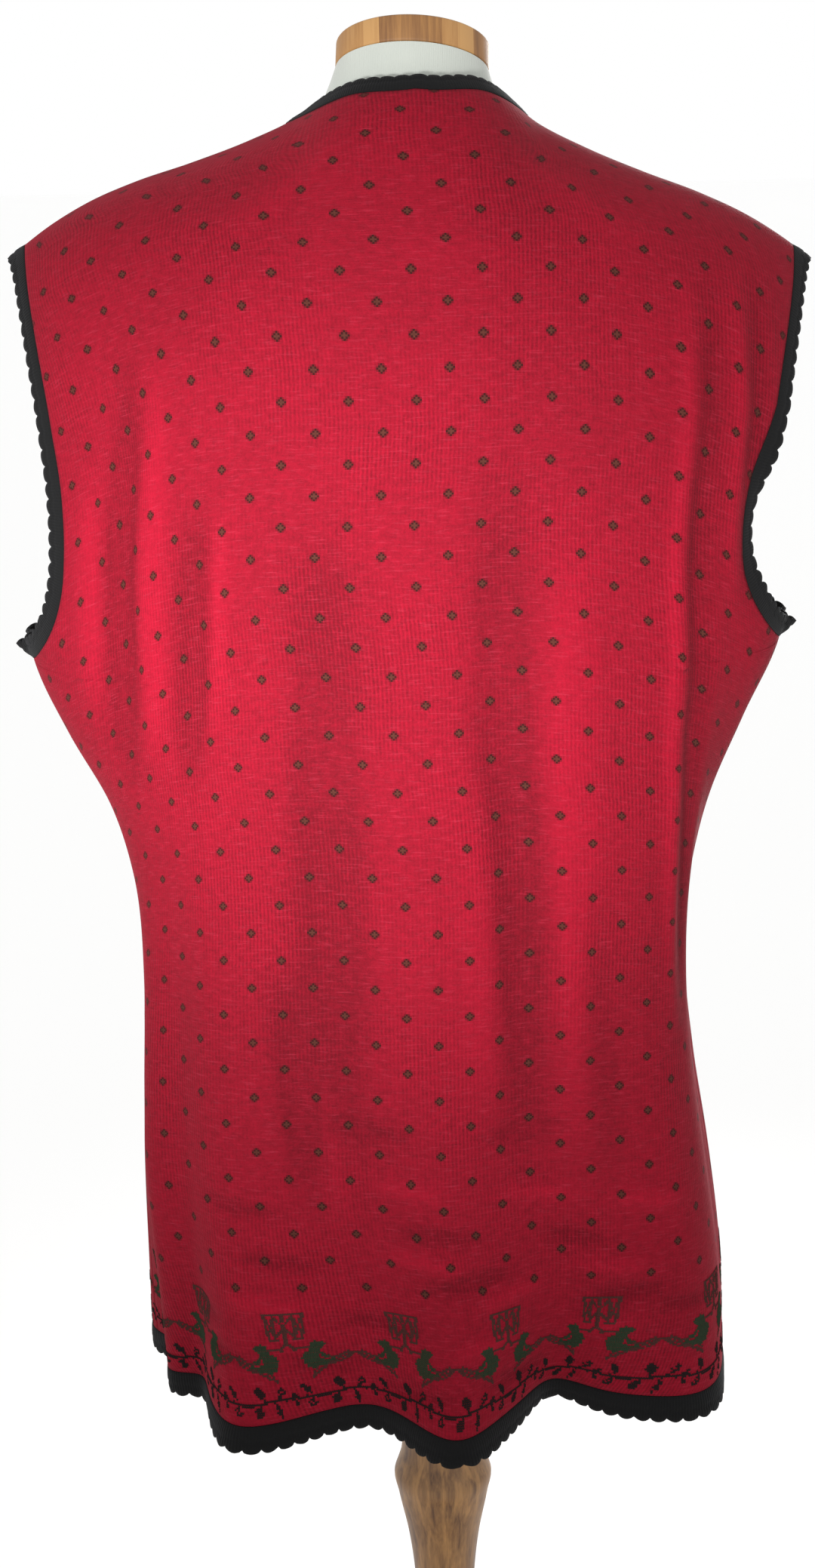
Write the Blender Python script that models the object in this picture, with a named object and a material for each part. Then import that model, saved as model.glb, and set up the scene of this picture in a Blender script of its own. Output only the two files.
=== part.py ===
"""Sleeveless knitted cardigan worn on a limbless dress form with a turned wooden stand.

Metres, +Z up, origin on the floor under the stand. The garment's back faces -Y and its
front opening faces +Y. The knit is a thin wall on one body-shaped surface: every panel,
trim and button takes its points from that surface.
"""

import math

import bmesh
import bpy
import numpy as np

# Driving dimensions of the knit
WALL = 0.0020
SEAM = 0.0003
HEM = 0.397
UNDERARM = 0.800
CHEST = 0.930
CLIMB = 0.130
RIDGE = CHEST + CLIMB
ROUNDNESS = 2.4
BEHIND_CURVE = 0.91
AHEAD_CURVE = 1.25
SHOULDER_JOIN = 0.0005
NECK_POINT = 0.062
NECK_DROP = 0.035

# Rings of the body: height, half width, depth behind, depth in front, sideways shift
RING_COLUMNS = ("height", "half_width", "back", "front", "shift")
RINGS = (
    (0.360, 0.161, 0.102, 0.128, -0.004),
    (0.430, 0.163, 0.100, 0.126, -0.004),
    (0.510, 0.159, 0.097, 0.124, -0.006),
    (0.560, 0.154, 0.096, 0.123, -0.008),
    (0.620, 0.150, 0.096, 0.123, -0.009),
    (0.680, 0.154, 0.098, 0.125, -0.009),
    (0.720, 0.164, 0.100, 0.128, -0.010),
    (0.760, 0.182, 0.103, 0.131, -0.012),
    (0.800, 0.199, 0.106, 0.132, -0.011),
    (0.860, 0.200, 0.110, 0.127, -0.011),
    (0.930, 0.204, 0.113, 0.119, -0.005),
)

# Line over the shoulders: distance from the middle, height
SHOULDER_LINE = (
    (0.000, 1.101),
    (0.030, 1.095),
    (0.062, 1.071),
    (0.085, 1.060),
    (0.116, 1.048),
    (0.145, 1.038),
    (0.170, 1.027),
    (0.190, 1.015),
    (0.210, 1.000),
)
SHOULDER_TILT = -0.040
UNDERARM_TILT = 0.008
ARM_REACH = 0.060
NAPE_SET_BACK = 0.030

# Armhole of the cloth: rise, distance from the middle behind, distance in front
ARMHOLE = (
    (0.8000, 0.1988, 0.1988),
    (0.8035, 0.1955, 0.1950),
    (0.8110, 0.1895, 0.1870),
    (0.8230, 0.1820, 0.1775),
    (0.8400, 0.1755, 0.1695),
    (0.8650, 0.1725, 0.1655),
    (0.8930, 0.1745, 0.1655),
    (0.9300, 0.1825, 0.1720),
    (0.9900, 0.1930, 0.1860),
    (1.0600, 0.1985, 0.1985),
)

# Hanging folds: place at the hem and place where they start (metres round from centre
# back, to the right in front view of the back), half width, depth outward at the hem,
# rise where they start, share of the depth that is there well above the hem
FOLDS = (
    (-0.100, -0.110, 0.026, 0.022, 0.80, 0.25),
    (-0.046, -0.040, 0.022, -0.006, 0.75, 0.30),
    (0.002, 0.012, 0.026, 0.026, 0.80, 0.20),
    (0.066, 0.046, 0.025, -0.022, 0.99, 0.25),
    (0.140, 0.136, 0.030, 0.017, 0.99, 0.45),
    (-0.148, -0.135, 0.016, -0.008, 0.72, 0.90),
    (-0.172, -0.165, 0.016, 0.007, 0.72, 0.90),
    (0.205, 0.165, 0.018, -0.006, 0.96, 0.80),
    (-0.196, -0.188, 0.022, -0.013, 0.60, 0.20),
    (0.215, 0.225, 0.026, 0.006, 0.70, 0.40),
    (-0.215, -0.225, 0.026, 0.006, 0.70, 0.40),
    (0.285, 0.280, 0.026, -0.014, 0.74, 0.30),
    (-0.285, -0.280, 0.026, -0.014, 0.74, 0.30),
    (0.345, 0.340, 0.030, 0.020, 0.78, 0.30),
    (-0.345, -0.340, 0.030, 0.020, 0.78, 0.30),
)
HEM_FLARE = 0.045
HEM_DIP = 0.15

# Front opening
OVERLAP = 0.013
V_POINT = 0.840
UNDERLAP_DEPTH = 0.0034
UNDERLAP_FULL = -0.030
UNDERLAP_START = -0.050

# Rows of the panels, by rise: below the underarm, beside the armhole, over the shoulder
BODY_ROWS = (HEM, 0.410, 0.432, 0.465, 0.515, 0.575, 0.635, 0.695, 0.748, UNDERARM)
ARM_ROWS = (0.8035, 0.811, 0.823, 0.840, 0.865, 0.893, CHEST)
CLIMB_ROWS = 7
NECK_COLUMNS = 10
SIDE_COLUMNS = 11
FRONT_COLUMNS = 12

# Trims
SCALLOP = 0.0087
SCALLOP_DEPTH = 0.0026
TRIM_WALL = 0.0020
HEM_TRIM = 0.0150
ARM_TRIM = 0.0120
NECK_TRIM = 0.0105

# Buttons
BUTTON_RISES = (0.815, 0.740, 0.665, 0.590, 0.515, 0.440)
BUTTON_RADIUS = 0.0080
BUTTON_THICKNESS = 0.0034
BUTTON_LIFT = 0.0008
BUTTON_SIDES = 16

# Dress form and stand
FORM_SIDES = 36
FORM_CORNERS = 0.80
FORM_SEAT = 0.0024
FORM_WIDTH = 0.162
NECK_RELIEF = 0.0025
NECK_RADIUS = 0.039
CAP_THICKNESS = 0.014
CAP_CENTRE = (-0.001, 0.000, 1.108)
CAP_FORWARD = math.radians(22.0)
CAP_SIDEWAYS = math.radians(3.0)
BASE_RADIUS = 0.165
BASE_THICKNESS = 0.030
TURNED_SIDES = 32

# Form rings: height, half width, share of the cloth's depth behind and in front
FORM_RINGS = (
    (0.455, 0.138, 0.80, 0.74),
    (0.462, 0.144, 0.84, 0.78),
    (0.500, 0.148, 0.88, 0.82),
    (0.560, 0.134, 0.90, 0.84),
    (0.620, 0.128, 0.90, 0.86),
    (0.700, 0.137, 0.92, 0.90),
    (0.780, 0.156, 0.94, 0.93),
    (0.850, 0.162, 0.940, 0.93),
    (0.900, 0.162, 0.950, 0.93),
)
FORM_SLICES = (0.930, 0.960, 0.985, 1.003, 1.016, 1.026, 1.036, 1.046, 1.054, 1.062)

# Neck of the form: share of the climb, share of the narrowing behind and at the sides
NECK_STEPS = (
    (0.25, 0.40, 0.58),
    (0.50, 0.66, 0.79),
    (0.75, 0.87, 0.91),
    (1.00, 1.00, 1.00),
)

# Stem profile: height, radius
STEM = (
    (0.0303, 0.034),
    (0.040, 0.034),
    (0.046, 0.026),
    (0.056, 0.021),
    (0.066, 0.024),
    (0.074, 0.021),
    (0.100, 0.026),
    (0.130, 0.0265),
    (0.165, 0.021),
    (0.205, 0.0170),
    (0.240, 0.0178),
    (0.265, 0.0208),
    (0.292, 0.0262),
    (0.305, 0.0282),
    (0.310, 0.0265),
    (0.316, 0.0245),
    (0.335, 0.0235),
    (0.4547, 0.0235),
)


def blend_table(table, column, place):
    """Read a table smoothly between its rows, with slopes taken from its neighbours."""
    keys = np.array([row[0] for row in table], dtype=float)
    values = np.array([row[column] for row in table], dtype=float)
    slopes = np.gradient(values, keys)
    place = np.clip(np.asarray(place, dtype=float), keys[0], keys[-1])
    low = np.clip(np.searchsorted(keys, place) - 1, 0, len(keys) - 2)
    span = keys[low + 1] - keys[low]
    part = (place - keys[low]) / span
    first = (1.0 + 2.0 * part) * (1.0 - part) ** 2 * values[low]
    second = part * (1.0 - part) ** 2 * span * slopes[low]
    third = part ** 2 * (3.0 - 2.0 * part) * values[low + 1]
    fourth = part ** 2 * (part - 1.0) * span * slopes[low + 1]
    return first + second + third + fourth


def ring_sizes(height):
    """Half width, depth behind, depth in front and shift of the body at a height."""
    return [float(blend_table(RINGS, column, height)) for column in range(1, len(RING_COLUMNS))]


def signed_power(value, power):
    return np.sign(value) * np.abs(value) ** power


def plain_ring(turn, height):
    """Unfolded ring: turn is 0 at centre back, a quarter turn at the right side seam."""
    half_width, back, front, shift = ring_sizes(height)
    across = half_width * signed_power(np.sin(turn), 2.0 / ROUNDNESS)
    depth = np.where(np.cos(turn) >= 0.0, back, front)
    ahead = -depth * signed_power(np.cos(turn), 2.0 / ROUNDNESS)
    out_x = signed_power(across / half_width, ROUNDNESS - 1.0) / half_width
    out_y = signed_power(ahead / depth, ROUNDNESS - 1.0) / depth
    size = np.hypot(out_x, out_y)
    return across, ahead, out_x / size, out_y / size, shift


def distance_round(turn, height):
    """Cloth distance round from centre back, measured on the unfolded ring."""
    samples = np.linspace(-1.15 * math.pi, 1.15 * math.pi, 921)
    across, ahead = plain_ring(samples, height)[:2]
    steps = np.hypot(np.diff(across), np.diff(ahead))
    lengths = np.concatenate(([0.0], np.cumsum(steps)))
    lengths -= np.interp(0.0, samples, lengths)
    return np.interp(turn, samples, lengths)


def fold_depth(around, rise):
    """How far the folds push the cloth out at a place."""
    total = np.zeros(np.broadcast(around, rise).shape)
    flare = np.exp(-(rise - HEM) / HEM_FLARE)
    for at_hem, at_start, half_width, depth, start, share in FOLDS:
        drop = np.clip((start - rise) / (start - HEM), 0.0, 1.0)
        middle = at_start + (at_hem - at_start) * drop
        strength = share * drop ** 0.8 + (1.0 - share) * flare * np.minimum(drop * 4.0, 1.0)
        total += depth * strength * np.exp(-((around - middle) / half_width) ** 2)
    return total, flare


def shoulder_line(across):
    """Height of the line over the shoulders and its place from back to front."""
    side = np.abs(across)
    height = blend_table(SHOULDER_LINE, 1, side) + SHOULDER_TILT * across
    inside = np.clip(1.0 - (side / NECK_POINT) ** 2, 0.0, 1.0)
    return height, -NAPE_SET_BACK * inside ** 1.3


def surface(turn, rise):
    """Outer face of the knit at a turn round the body and a rise up the cloth."""
    turn = np.asarray(turn, dtype=float)
    rise = np.broadcast_to(np.asarray(rise, dtype=float), turn.shape)
    level = min(float(rise.min()), CHEST)
    across, ahead, out_x, out_y, shift = plain_ring(turn, level)
    depth, flare = fold_depth(distance_round(turn, level), rise)
    across = across + out_x * depth
    ahead = ahead + out_y * depth
    height = np.minimum(rise, CHEST) - HEM_DIP * depth * flare
    height = height + UNDERARM_TILT * across * np.exp(-((rise - UNDERARM) / ARM_REACH) ** 2)
    climb = np.clip((rise - CHEST) / CLIMB, 0.0, 1.0) * math.pi / 2.0
    power = np.where(np.cos(turn) >= 0.0, BEHIND_CURVE, AHEAD_CURVE)
    top, middle = shoulder_line(across + shift)
    inward = np.abs(np.cos(climb)) ** power
    upward = np.sin(climb) ** power
    ahead = np.where(climb > 0.0, middle + (ahead - middle) * inward, ahead)
    height = height + (top - CHEST) * upward
    return np.stack((across + shift, ahead, height), axis=-1)


def outward(turn, rise):
    """Unit normal of the outer face, by small steps on both sides of a point."""
    step = 0.004
    climb = 0.0015
    upper = np.minimum(rise + climb, RIDGE)
    along = surface(turn + step, rise) - surface(turn - step, rise)
    up = surface(turn, upper) - surface(turn, rise - climb)
    normal = np.cross(along, up)
    return normal / np.linalg.norm(normal, axis=-1, keepdims=True)


def turn_behind(across, rise):
    """Turn at which the back of the ring is a distance from the middle."""
    half_width = ring_sizes(min(rise, CHEST))[0]
    share = np.clip(abs(across) / half_width, 0.0, 1.0)
    return math.copysign(math.asin(share ** (ROUNDNESS / 2.0)), across)


def turn_in_front(across, rise, hand):
    """Turn at which a front is a distance from the middle, to its own side, right hand +1."""
    return hand * (math.pi - turn_behind(across, rise))


def even_turns(start, end, rise_at, count):
    """Turns from start to end that split the row into stretches of equal length."""
    turns = np.linspace(start, end, 161)
    points = surface(turns, rise_at(turns))
    steps = np.linalg.norm(np.diff(points, axis=0), axis=1)
    lengths = np.concatenate(([0.0], np.cumsum(steps)))
    return np.interp(np.linspace(0.0, lengths[-1], count + 1), lengths, turns)


def seam_step(turn, rise):
    """Change of turn that moves a point half a seam gap along its ring."""
    pair = surface(np.array((turn - 0.002, turn + 0.002)), rise)
    return 0.004 * 0.5 * SEAM / np.linalg.norm(pair[1] - pair[0])


def neck_rise(across):
    """Rise of the back neck edge: down at the middle, at the shoulder line at its ends."""
    share = np.clip(np.abs(across) / NECK_POINT, 0.0, 1.0)
    return RIDGE - NECK_DROP * (1.0 - share ** 2.6)


def climb_rises():
    """Rises of the rows over the shoulder, ending half a seam short of the line."""
    last = RIDGE - SHOULDER_JOIN
    return [CHEST + (last - CHEST) * step / CLIMB_ROWS for step in range(1, CLIMB_ROWS + 1)]


def back_rows():
    """Grid of turns and rises of the back, hem to shoulder."""
    rows = []
    for rise in BODY_ROWS + ARM_ROWS + tuple(climb_rises()):
        if rise <= UNDERARM:
            edge = math.pi / 2.0 - seam_step(math.pi / 2.0, rise)
        else:
            edge = turn_behind(float(blend_table(ARMHOLE, 1, rise)), rise)
        neck = turn_behind(NECK_POINT, rise)

        def rise_at(turns, rise=rise):
            if rise <= CHEST:
                return np.full(turns.shape, rise)
            across = plain_ring(turns, CHEST)[0]
            share = (rise - CHEST) / CLIMB
            return CHEST + (neck_rise(across) - CHEST) * share

        turns = np.concatenate((
            even_turns(-edge, -neck, rise_at, SIDE_COLUMNS)[:-1],
            even_turns(-neck, neck, rise_at, NECK_COLUMNS)[:-1],
            even_turns(neck, edge, rise_at, SIDE_COLUMNS),
        ))
        rows.append((turns, rise_at(turns)))
    return rows


def opening_across(rise):
    """How far the front edge of the upper front lies past the middle, to its own side."""
    share = np.clip((rise - V_POINT) / (RIDGE - V_POINT), 0.0, 1.0)
    return -OVERLAP + (NECK_POINT + OVERLAP) * share ** 0.92


def front_rows(hand):
    """Grid of turns and rises of one front, from the side seam to the front edge."""
    rows = []
    for rise in BODY_ROWS + ARM_ROWS + tuple(climb_rises()):
        if rise <= UNDERARM:
            side = hand * (math.pi / 2.0 + seam_step(math.pi / 2.0, rise))
        else:
            side = turn_in_front(float(blend_table(ARMHOLE, 2, rise)), rise, hand)
        edge_across = float(opening_across(rise))
        edge = turn_in_front(edge_across, rise, hand)

        def rise_at(turns, rise=rise):
            return np.full(turns.shape, rise)

        breaks = [side, edge]
        counts = [FRONT_COLUMNS + 4]
        if edge_across < -UNDERLAP_START - 0.020:
            flat = turn_in_front(-UNDERLAP_FULL, rise, hand)
            slope = turn_in_front(-UNDERLAP_START, rise, hand)
            breaks = [side, slope, flat, edge]
            counts = [FRONT_COLUMNS, 1, 3]
        turns = [side]
        for start, end, count in zip(breaks[:-1], breaks[1:], counts):
            turns.extend(even_turns(start, end, rise_at, count)[1:])
        turns = np.array(turns)
        rows.append((turns, rise_at(turns)))
    return rows


def underlap(turn, rise):
    """How far the left front sinks where the right front lies over it."""
    across = surface(turn, rise)[..., 0] - ring_sizes(min(float(np.min(rise)), CHEST))[3]
    near = np.clip((across - UNDERLAP_START) / (UNDERLAP_FULL - UNDERLAP_START), 0.0, 1.0)
    low = np.clip((0.985 - rise) / 0.055, 0.0, 1.0)
    return UNDERLAP_DEPTH * near * low


def panel_points(rows, hand=0):
    """Outer points and normals of a panel; the left front also sinks at its edge."""
    points = []
    normals = []
    for turns, rises in rows:
        outer = surface(turns, rises)
        normal = outward(turns, rises)
        if hand < 0:
            outer = outer - normal * underlap(turns, rises)[:, None]
        points.append(outer)
        normals.append(normal)
    return np.array(points), np.array(normals)


def material(name, red, green, blue, roughness):
    """Plain finish of one sub-part."""
    finish = bpy.data.materials.new(name)
    finish.use_nodes = True
    shader = finish.node_tree.nodes["Principled BSDF"]
    shader.inputs["Base Color"].default_value = (red, green, blue, 1.0)
    shader.inputs["Roughness"].default_value = roughness
    shader.inputs["Metallic"].default_value = 0.0
    return finish


def add_solid(name, points, faces, finish, smooth=True):
    """Make one closed solid, with its faces turned outward."""
    mesh = bpy.data.meshes.new(name)
    mesh.from_pydata([tuple(point) for point in points], [], faces)
    work = bmesh.new()
    work.from_mesh(mesh)
    bmesh.ops.recalc_face_normals(work, faces=work.faces)
    if work.calc_volume(signed=True) < 0.0:
        bmesh.ops.reverse_faces(work, faces=work.faces)
    work.to_mesh(mesh)
    work.free()
    if smooth:
        mesh.shade_smooth()
        mesh.set_sharp_from_angle(angle=math.radians(40.0))
    mesh.materials.append(finish)
    solid = bpy.data.objects.new(name, mesh)
    bpy.context.scene.collection.objects.link(solid)
    return solid


def add_panel(name, outer, normals, wall, finish):
    """Thin wall between a grid of outer points and the same grid moved inward."""
    rows, columns = outer.shape[:2]
    inner = outer - normals * wall
    points = np.concatenate((outer.reshape(-1, 3), inner.reshape(-1, 3)))
    half = rows * columns
    faces = []
    for row in range(rows - 1):
        for column in range(columns - 1):
            first = row * columns + column
            quad = (first, first + 1, first + columns + 1, first + columns)
            faces.append(quad)
            faces.append(tuple(half + corner for corner in reversed(quad)))
    rim = list(range(columns))
    rim += [row * columns + columns - 1 for row in range(1, rows)]
    rim += [(rows - 1) * columns + column for column in range(columns - 2, -1, -1)]
    rim += [row * columns for row in range(rows - 2, 0, -1)]
    for here, there in zip(rim, rim[1:] + rim[:1]):
        faces.append((there, here, half + here, half + there))
    return add_solid(name, points, faces, finish)


def bridge_strip(near, far, closed):
    """Triangles between two runs of points, given how far along each point lies."""
    triangles = []
    here = 0
    there = 0
    near_count = len(near)
    far_count = len(far)
    while here < near_count - 1 or there < far_count - 1:
        step_near = there == far_count - 1
        if here < near_count - 1 and there < far_count - 1:
            step_near = near[here + 1] <= far[there + 1]
        if step_near:
            triangles.append((("near", here), ("near", here + 1), ("far", there)))
            here += 1
        else:
            triangles.append((("near", here), ("far", there + 1), ("far", there)))
            there += 1
    if closed:
        wrap = {"near": near_count - 1, "far": far_count - 1}
        triangles = [
            tuple((run, index % wrap[run]) for run, index in triangle) for triangle in triangles
        ]
    return triangles


def add_trim(name, edge, normals, width, finish, closed=False, flip=1.0):
    """Scalloped band that carries on past an edge of the cloth, as a thin wall."""
    edge = np.asarray(edge)
    normals = np.asarray(normals)
    if closed:
        edge = np.concatenate((edge, edge[:1]))
        normals = np.concatenate((normals, normals[:1]))
    steps = np.linalg.norm(np.diff(edge, axis=0), axis=1)
    places = np.concatenate(([0.0], np.cumsum(steps)))
    along = np.gradient(edge, places, axis=0)
    if closed:
        along[0] = along[-1] = (edge[1] - edge[-2]) / np.linalg.norm(edge[1] - edge[-2])
    away = flip * np.cross(along, normals)
    away /= np.linalg.norm(away, axis=1, keepdims=True)
    scallops = int(round(places[-1] / SCALLOP))
    marks = np.linspace(0.0, places[-1], 3 * scallops + 1)
    depth = np.where(np.arange(marks.size) % 3 == 0, width - SCALLOP_DEPTH, width)

    def read(values):
        return np.stack([np.interp(marks, places, values[:, axis]) for axis in range(3)], axis=-1)

    near = edge + away * SEAM
    far_normals = read(normals)
    far = read(edge) + read(away) * depth[:, None]
    triangles = bridge_strip(places, marks, closed)
    near_used = len(near) - 1 if closed else len(near)
    far_used = len(far) - 1 if closed else len(far)
    near = near[:near_used]
    far = far[:far_used]
    outer = np.concatenate((near, far))
    inner = np.concatenate((
        near - normals[:near_used] * TRIM_WALL,
        far - far_normals[:far_used] * TRIM_WALL,
    ))
    points = np.concatenate((outer, inner))
    offset = {"near": 0, "far": near_used}
    half = len(outer)
    faces = []
    for triangle in triangles:
        corners = tuple(offset[run] + index for run, index in triangle)
        faces.append(corners)
        faces.append(tuple(half + corner for corner in reversed(corners)))
    near_rim = list(range(near_used))
    far_rim = list(range(near_used, near_used + far_used))
    if closed:
        for rim in (near_rim, far_rim):
            for here, there in zip(rim, rim[1:] + rim[:1]):
                faces.append((here, there, half + there, half + here))
    else:
        rim = near_rim + far_rim[::-1]
        for here, there in zip(rim, rim[1:] + rim[:1]):
            faces.append((here, there, half + there, half + here))
    return add_solid(name, points, faces, finish)


def add_loft(name, rings, finish):
    """Closed solid through a stack of rings, each ring end filled."""
    count = len(rings[0])
    points = np.concatenate(rings)
    faces = [tuple(range(count))[::-1]]
    for level in range(len(rings) - 1):
        low = level * count
        for index in range(count):
            after = (index + 1) % count
            faces.append((low + index, low + after, low + count + after, low + count + index))
    top = (len(rings) - 1) * count
    faces.append(tuple(top + index for index in range(count)))
    return add_solid(name, points, faces, finish)


def cap_frame():
    """Axes of the slanted neck cap: it dips to the front and a little to the right."""
    up = np.array((math.sin(CAP_SIDEWAYS), math.sin(CAP_FORWARD), 0.0))
    up[2] = math.sqrt(1.0 - up[0] ** 2 - up[1] ** 2)
    right = np.cross((0.0, 1.0, 0.0), up)
    right /= np.linalg.norm(right)
    return right, np.cross(up, right), up


def cap_ring(radius, below, sides):
    """Ring of the neck cap at a depth below its top face."""
    right, ahead, up = cap_frame()
    centre = np.array(CAP_CENTRE) - up * below
    turn = np.linspace(0.0, 2.0 * math.pi, sides, endpoint=False)
    return centre + radius * (np.sin(turn)[:, None] * right - np.cos(turn)[:, None] * ahead)


def form_ring(height, half_width, back_share, front_share):
    """Ring of the form's body, kept inside the cloth's ring."""
    turn = np.linspace(0.0, 2.0 * math.pi, FORM_SIDES, endpoint=False)
    back, front = ring_sizes(height)[1:3]
    depth = np.where(np.cos(turn) >= 0.0, back * back_share, front * front_share)
    across = half_width * signed_power(np.sin(turn), FORM_CORNERS)
    ahead = -depth * signed_power(np.cos(turn), FORM_CORNERS)
    return np.stack((across, ahead, np.full(turn.shape, height)), axis=-1)


def form_shoulder_height(across):
    """Top of the form under the shoulder line, rounded off at the arm plates."""
    top, middle = shoulder_line(across)
    share = np.clip(np.abs(across) / FORM_WIDTH, 0.0, 1.0)
    rounded = (1.0 - share ** 12) ** (1.0 / 12.0)
    relief = NECK_RELIEF * np.exp(-((np.abs(across) - NECK_POINT) / 0.020) ** 2)
    return CHEST + (top - FORM_SEAT - WALL - relief - CHEST) * rounded, middle


def form_slice(height):
    """Level slice through the form's shoulders."""
    samples = np.linspace(0.0, FORM_WIDTH, 400)
    reach = {}
    for hand in (-1.0, 1.0):
        tops = form_shoulder_height(hand * samples)[0]
        reach[hand] = float(samples[tops >= height].max())
    turn = np.linspace(0.0, 2.0 * math.pi, FORM_SIDES, endpoint=False)
    side = np.where(np.sin(turn) >= 0.0, reach[1.0], reach[-1.0])
    across = side * signed_power(np.sin(turn), FORM_CORNERS)
    back, front = ring_sizes(CHEST)[1:3]
    tops, middle = form_shoulder_height(across)
    upward = np.clip((height - CHEST) / np.maximum(tops - CHEST, SEAM), 0.0, 1.0)
    behind = np.cos(turn) >= 0.0
    power = np.where(behind, BEHIND_CURVE, AHEAD_CURVE)
    climb = np.arcsin(upward ** (1.0 / power))
    inward = np.cos(climb) ** power
    ring_share = (1.0 - np.clip(np.abs(across) / FORM_WIDTH, 0.0, 1.0) ** 2.5) ** 0.4
    start = np.where(behind, -(back - WALL - FORM_SEAT), 0.93 * front) * ring_share
    ahead = middle + (start - middle) * inward
    at_side = np.abs(np.cos(turn)) < 0.001
    ahead = np.where(at_side, middle, ahead)
    return np.stack((across, ahead, np.full(turn.shape, height)), axis=-1)


def add_form(finish):
    """Body, shoulders and neck of the form as one smooth closed solid."""
    rings = [form_ring(*row) for row in FORM_RINGS]
    rings += [form_slice(height) for height in FORM_SLICES]
    last = rings[-1]
    top = cap_ring(NECK_RADIUS, CAP_THICKNESS + SEAM, FORM_SIDES)
    turn = np.linspace(0.0, 2.0 * math.pi, FORM_SIDES, endpoint=False)
    for share, behind, beside in NECK_STEPS:
        ease = behind + (beside - behind) * np.sin(turn) ** 2
        ring = last + (top - last) * share
        ring[:, :2] = last[:, :2] + (top - last)[:, :2] * ease[:, None]
        rings.append(ring)
    return add_loft("form_torso", rings, finish)


def add_cap(finish):
    """Wooden disc that closes the neck, with eased edges."""
    ease = 0.0015
    rings = [
        cap_ring(NECK_RADIUS - ease, CAP_THICKNESS, TURNED_SIDES),
        cap_ring(NECK_RADIUS, CAP_THICKNESS - ease, TURNED_SIDES),
        cap_ring(NECK_RADIUS, ease, TURNED_SIDES),
        cap_ring(NECK_RADIUS - ease, 0.0, TURNED_SIDES),
    ]
    return add_loft("neck_cap", rings, finish)


def turned_rings(profile):
    """Rings of a turned piece from its height and radius table."""
    turn = np.linspace(0.0, 2.0 * math.pi, TURNED_SIDES, endpoint=False)
    circle = np.stack((np.sin(turn), -np.cos(turn)), axis=-1)
    rings = []
    for height, radius in profile:
        level = np.full((TURNED_SIDES, 1), height)
        rings.append(np.concatenate((circle * radius, level), axis=1))
    return rings


def add_buttons(finish):
    """Row of plain round buttons on the upper front, on the middle line."""
    for number, rise in enumerate(BUTTON_RISES, start=1):
        turn = np.array((math.pi,))
        centre = surface(turn, rise)[0]
        normal = outward(turn, rise)[0]
        right = np.cross(normal, (0.0, 0.0, 1.0))
        right /= np.linalg.norm(right)
        up = np.cross(right, normal)
        angle = np.linspace(0.0, 2.0 * math.pi, BUTTON_SIDES, endpoint=False)
        circle = np.cos(angle)[:, None] * right + np.sin(angle)[:, None] * up
        rings = []
        for radius, lift in ((0.85, 0.0), (1.0, 0.35), (0.96, 0.85), (0.80, 1.0)):
            base = centre + normal * (BUTTON_LIFT + BUTTON_THICKNESS * lift)
            rings.append(base + circle * BUTTON_RADIUS * radius)
        add_loft("button_%d" % number, rings, finish)


def build():
    """Make every sub-part."""
    red = material("wool_red", 0.45, 0.018, 0.045, 0.90)
    black = material("wool_black", 0.012, 0.012, 0.014, 0.92)
    jersey = material("form_jersey", 0.76, 0.77, 0.72, 0.85)
    bamboo = material("cap_bamboo", 0.47, 0.24, 0.08, 0.45)
    turned = material("stand_wood", 0.40, 0.22, 0.09, 0.40)
    shell = material("button_black", 0.02, 0.02, 0.022, 0.35)

    back, back_normals = panel_points(back_rows())
    right, right_normals = panel_points(front_rows(1))
    left, left_normals = panel_points(front_rows(-1), hand=-1)
    add_panel("back_panel", back, back_normals, WALL, red)
    add_panel("right_front", right, right_normals, WALL, red)
    add_panel("left_front", left, left_normals, WALL, red)

    hem_edge = np.concatenate((left[0][::-1], back[0], right[0]))
    hem_normals = np.concatenate((left_normals[0][::-1], back_normals[0], right_normals[0]))
    add_trim("hem_trim", hem_edge, hem_normals, HEM_TRIM, black)

    first = len(BODY_ROWS) - 1
    for name, column, front, front_normals, flip in (
        ("right_armhole_trim", -1, right, right_normals, 1.0),
        ("left_armhole_trim", 0, left, left_normals, -1.0),
    ):
        loop = np.concatenate((back[first:, column], front[first:, 0][::-1]))
        loop_normals = np.concatenate((back_normals[first:, column], front_normals[first:, 0][::-1]))
        add_trim(name, loop, loop_normals, ARM_TRIM, black, closed=True, flip=flip)

    v_row = first + 2
    neck_edge = np.concatenate((
        left[v_row:, -1],
        back[-1][SIDE_COLUMNS:SIDE_COLUMNS + NECK_COLUMNS + 1],
        right[::-1, -1],
    ))
    neck_normals = np.concatenate((
        left_normals[v_row:, -1],
        back_normals[-1][SIDE_COLUMNS:SIDE_COLUMNS + NECK_COLUMNS + 1],
        right_normals[::-1, -1],
    ))
    tail = neck_edge[-1] + (neck_edge[-1] - neck_edge[-2]) * HEM_TRIM / (BODY_ROWS[1] - HEM)
    neck_edge = np.concatenate((neck_edge, tail[None]))
    neck_normals = np.concatenate((neck_normals, neck_normals[-1:]))
    add_trim("neck_and_front_trim", neck_edge, neck_normals, NECK_TRIM, black, flip=-1.0)

    add_buttons(shell)
    add_form(jersey)
    add_cap(bamboo)
    add_loft("stem", turned_rings(STEM), turned)
    ease = 0.004
    add_loft("base", turned_rings((
        (0.0, BASE_RADIUS - ease),
        (ease, BASE_RADIUS),
        (BASE_THICKNESS - 2.0 * ease, BASE_RADIUS),
        (BASE_THICKNESS, BASE_RADIUS - 2.0 * ease),
    )), turned)


for old in list(bpy.data.objects):
    bpy.data.objects.remove(old, do_unlink=True)
build()
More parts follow.
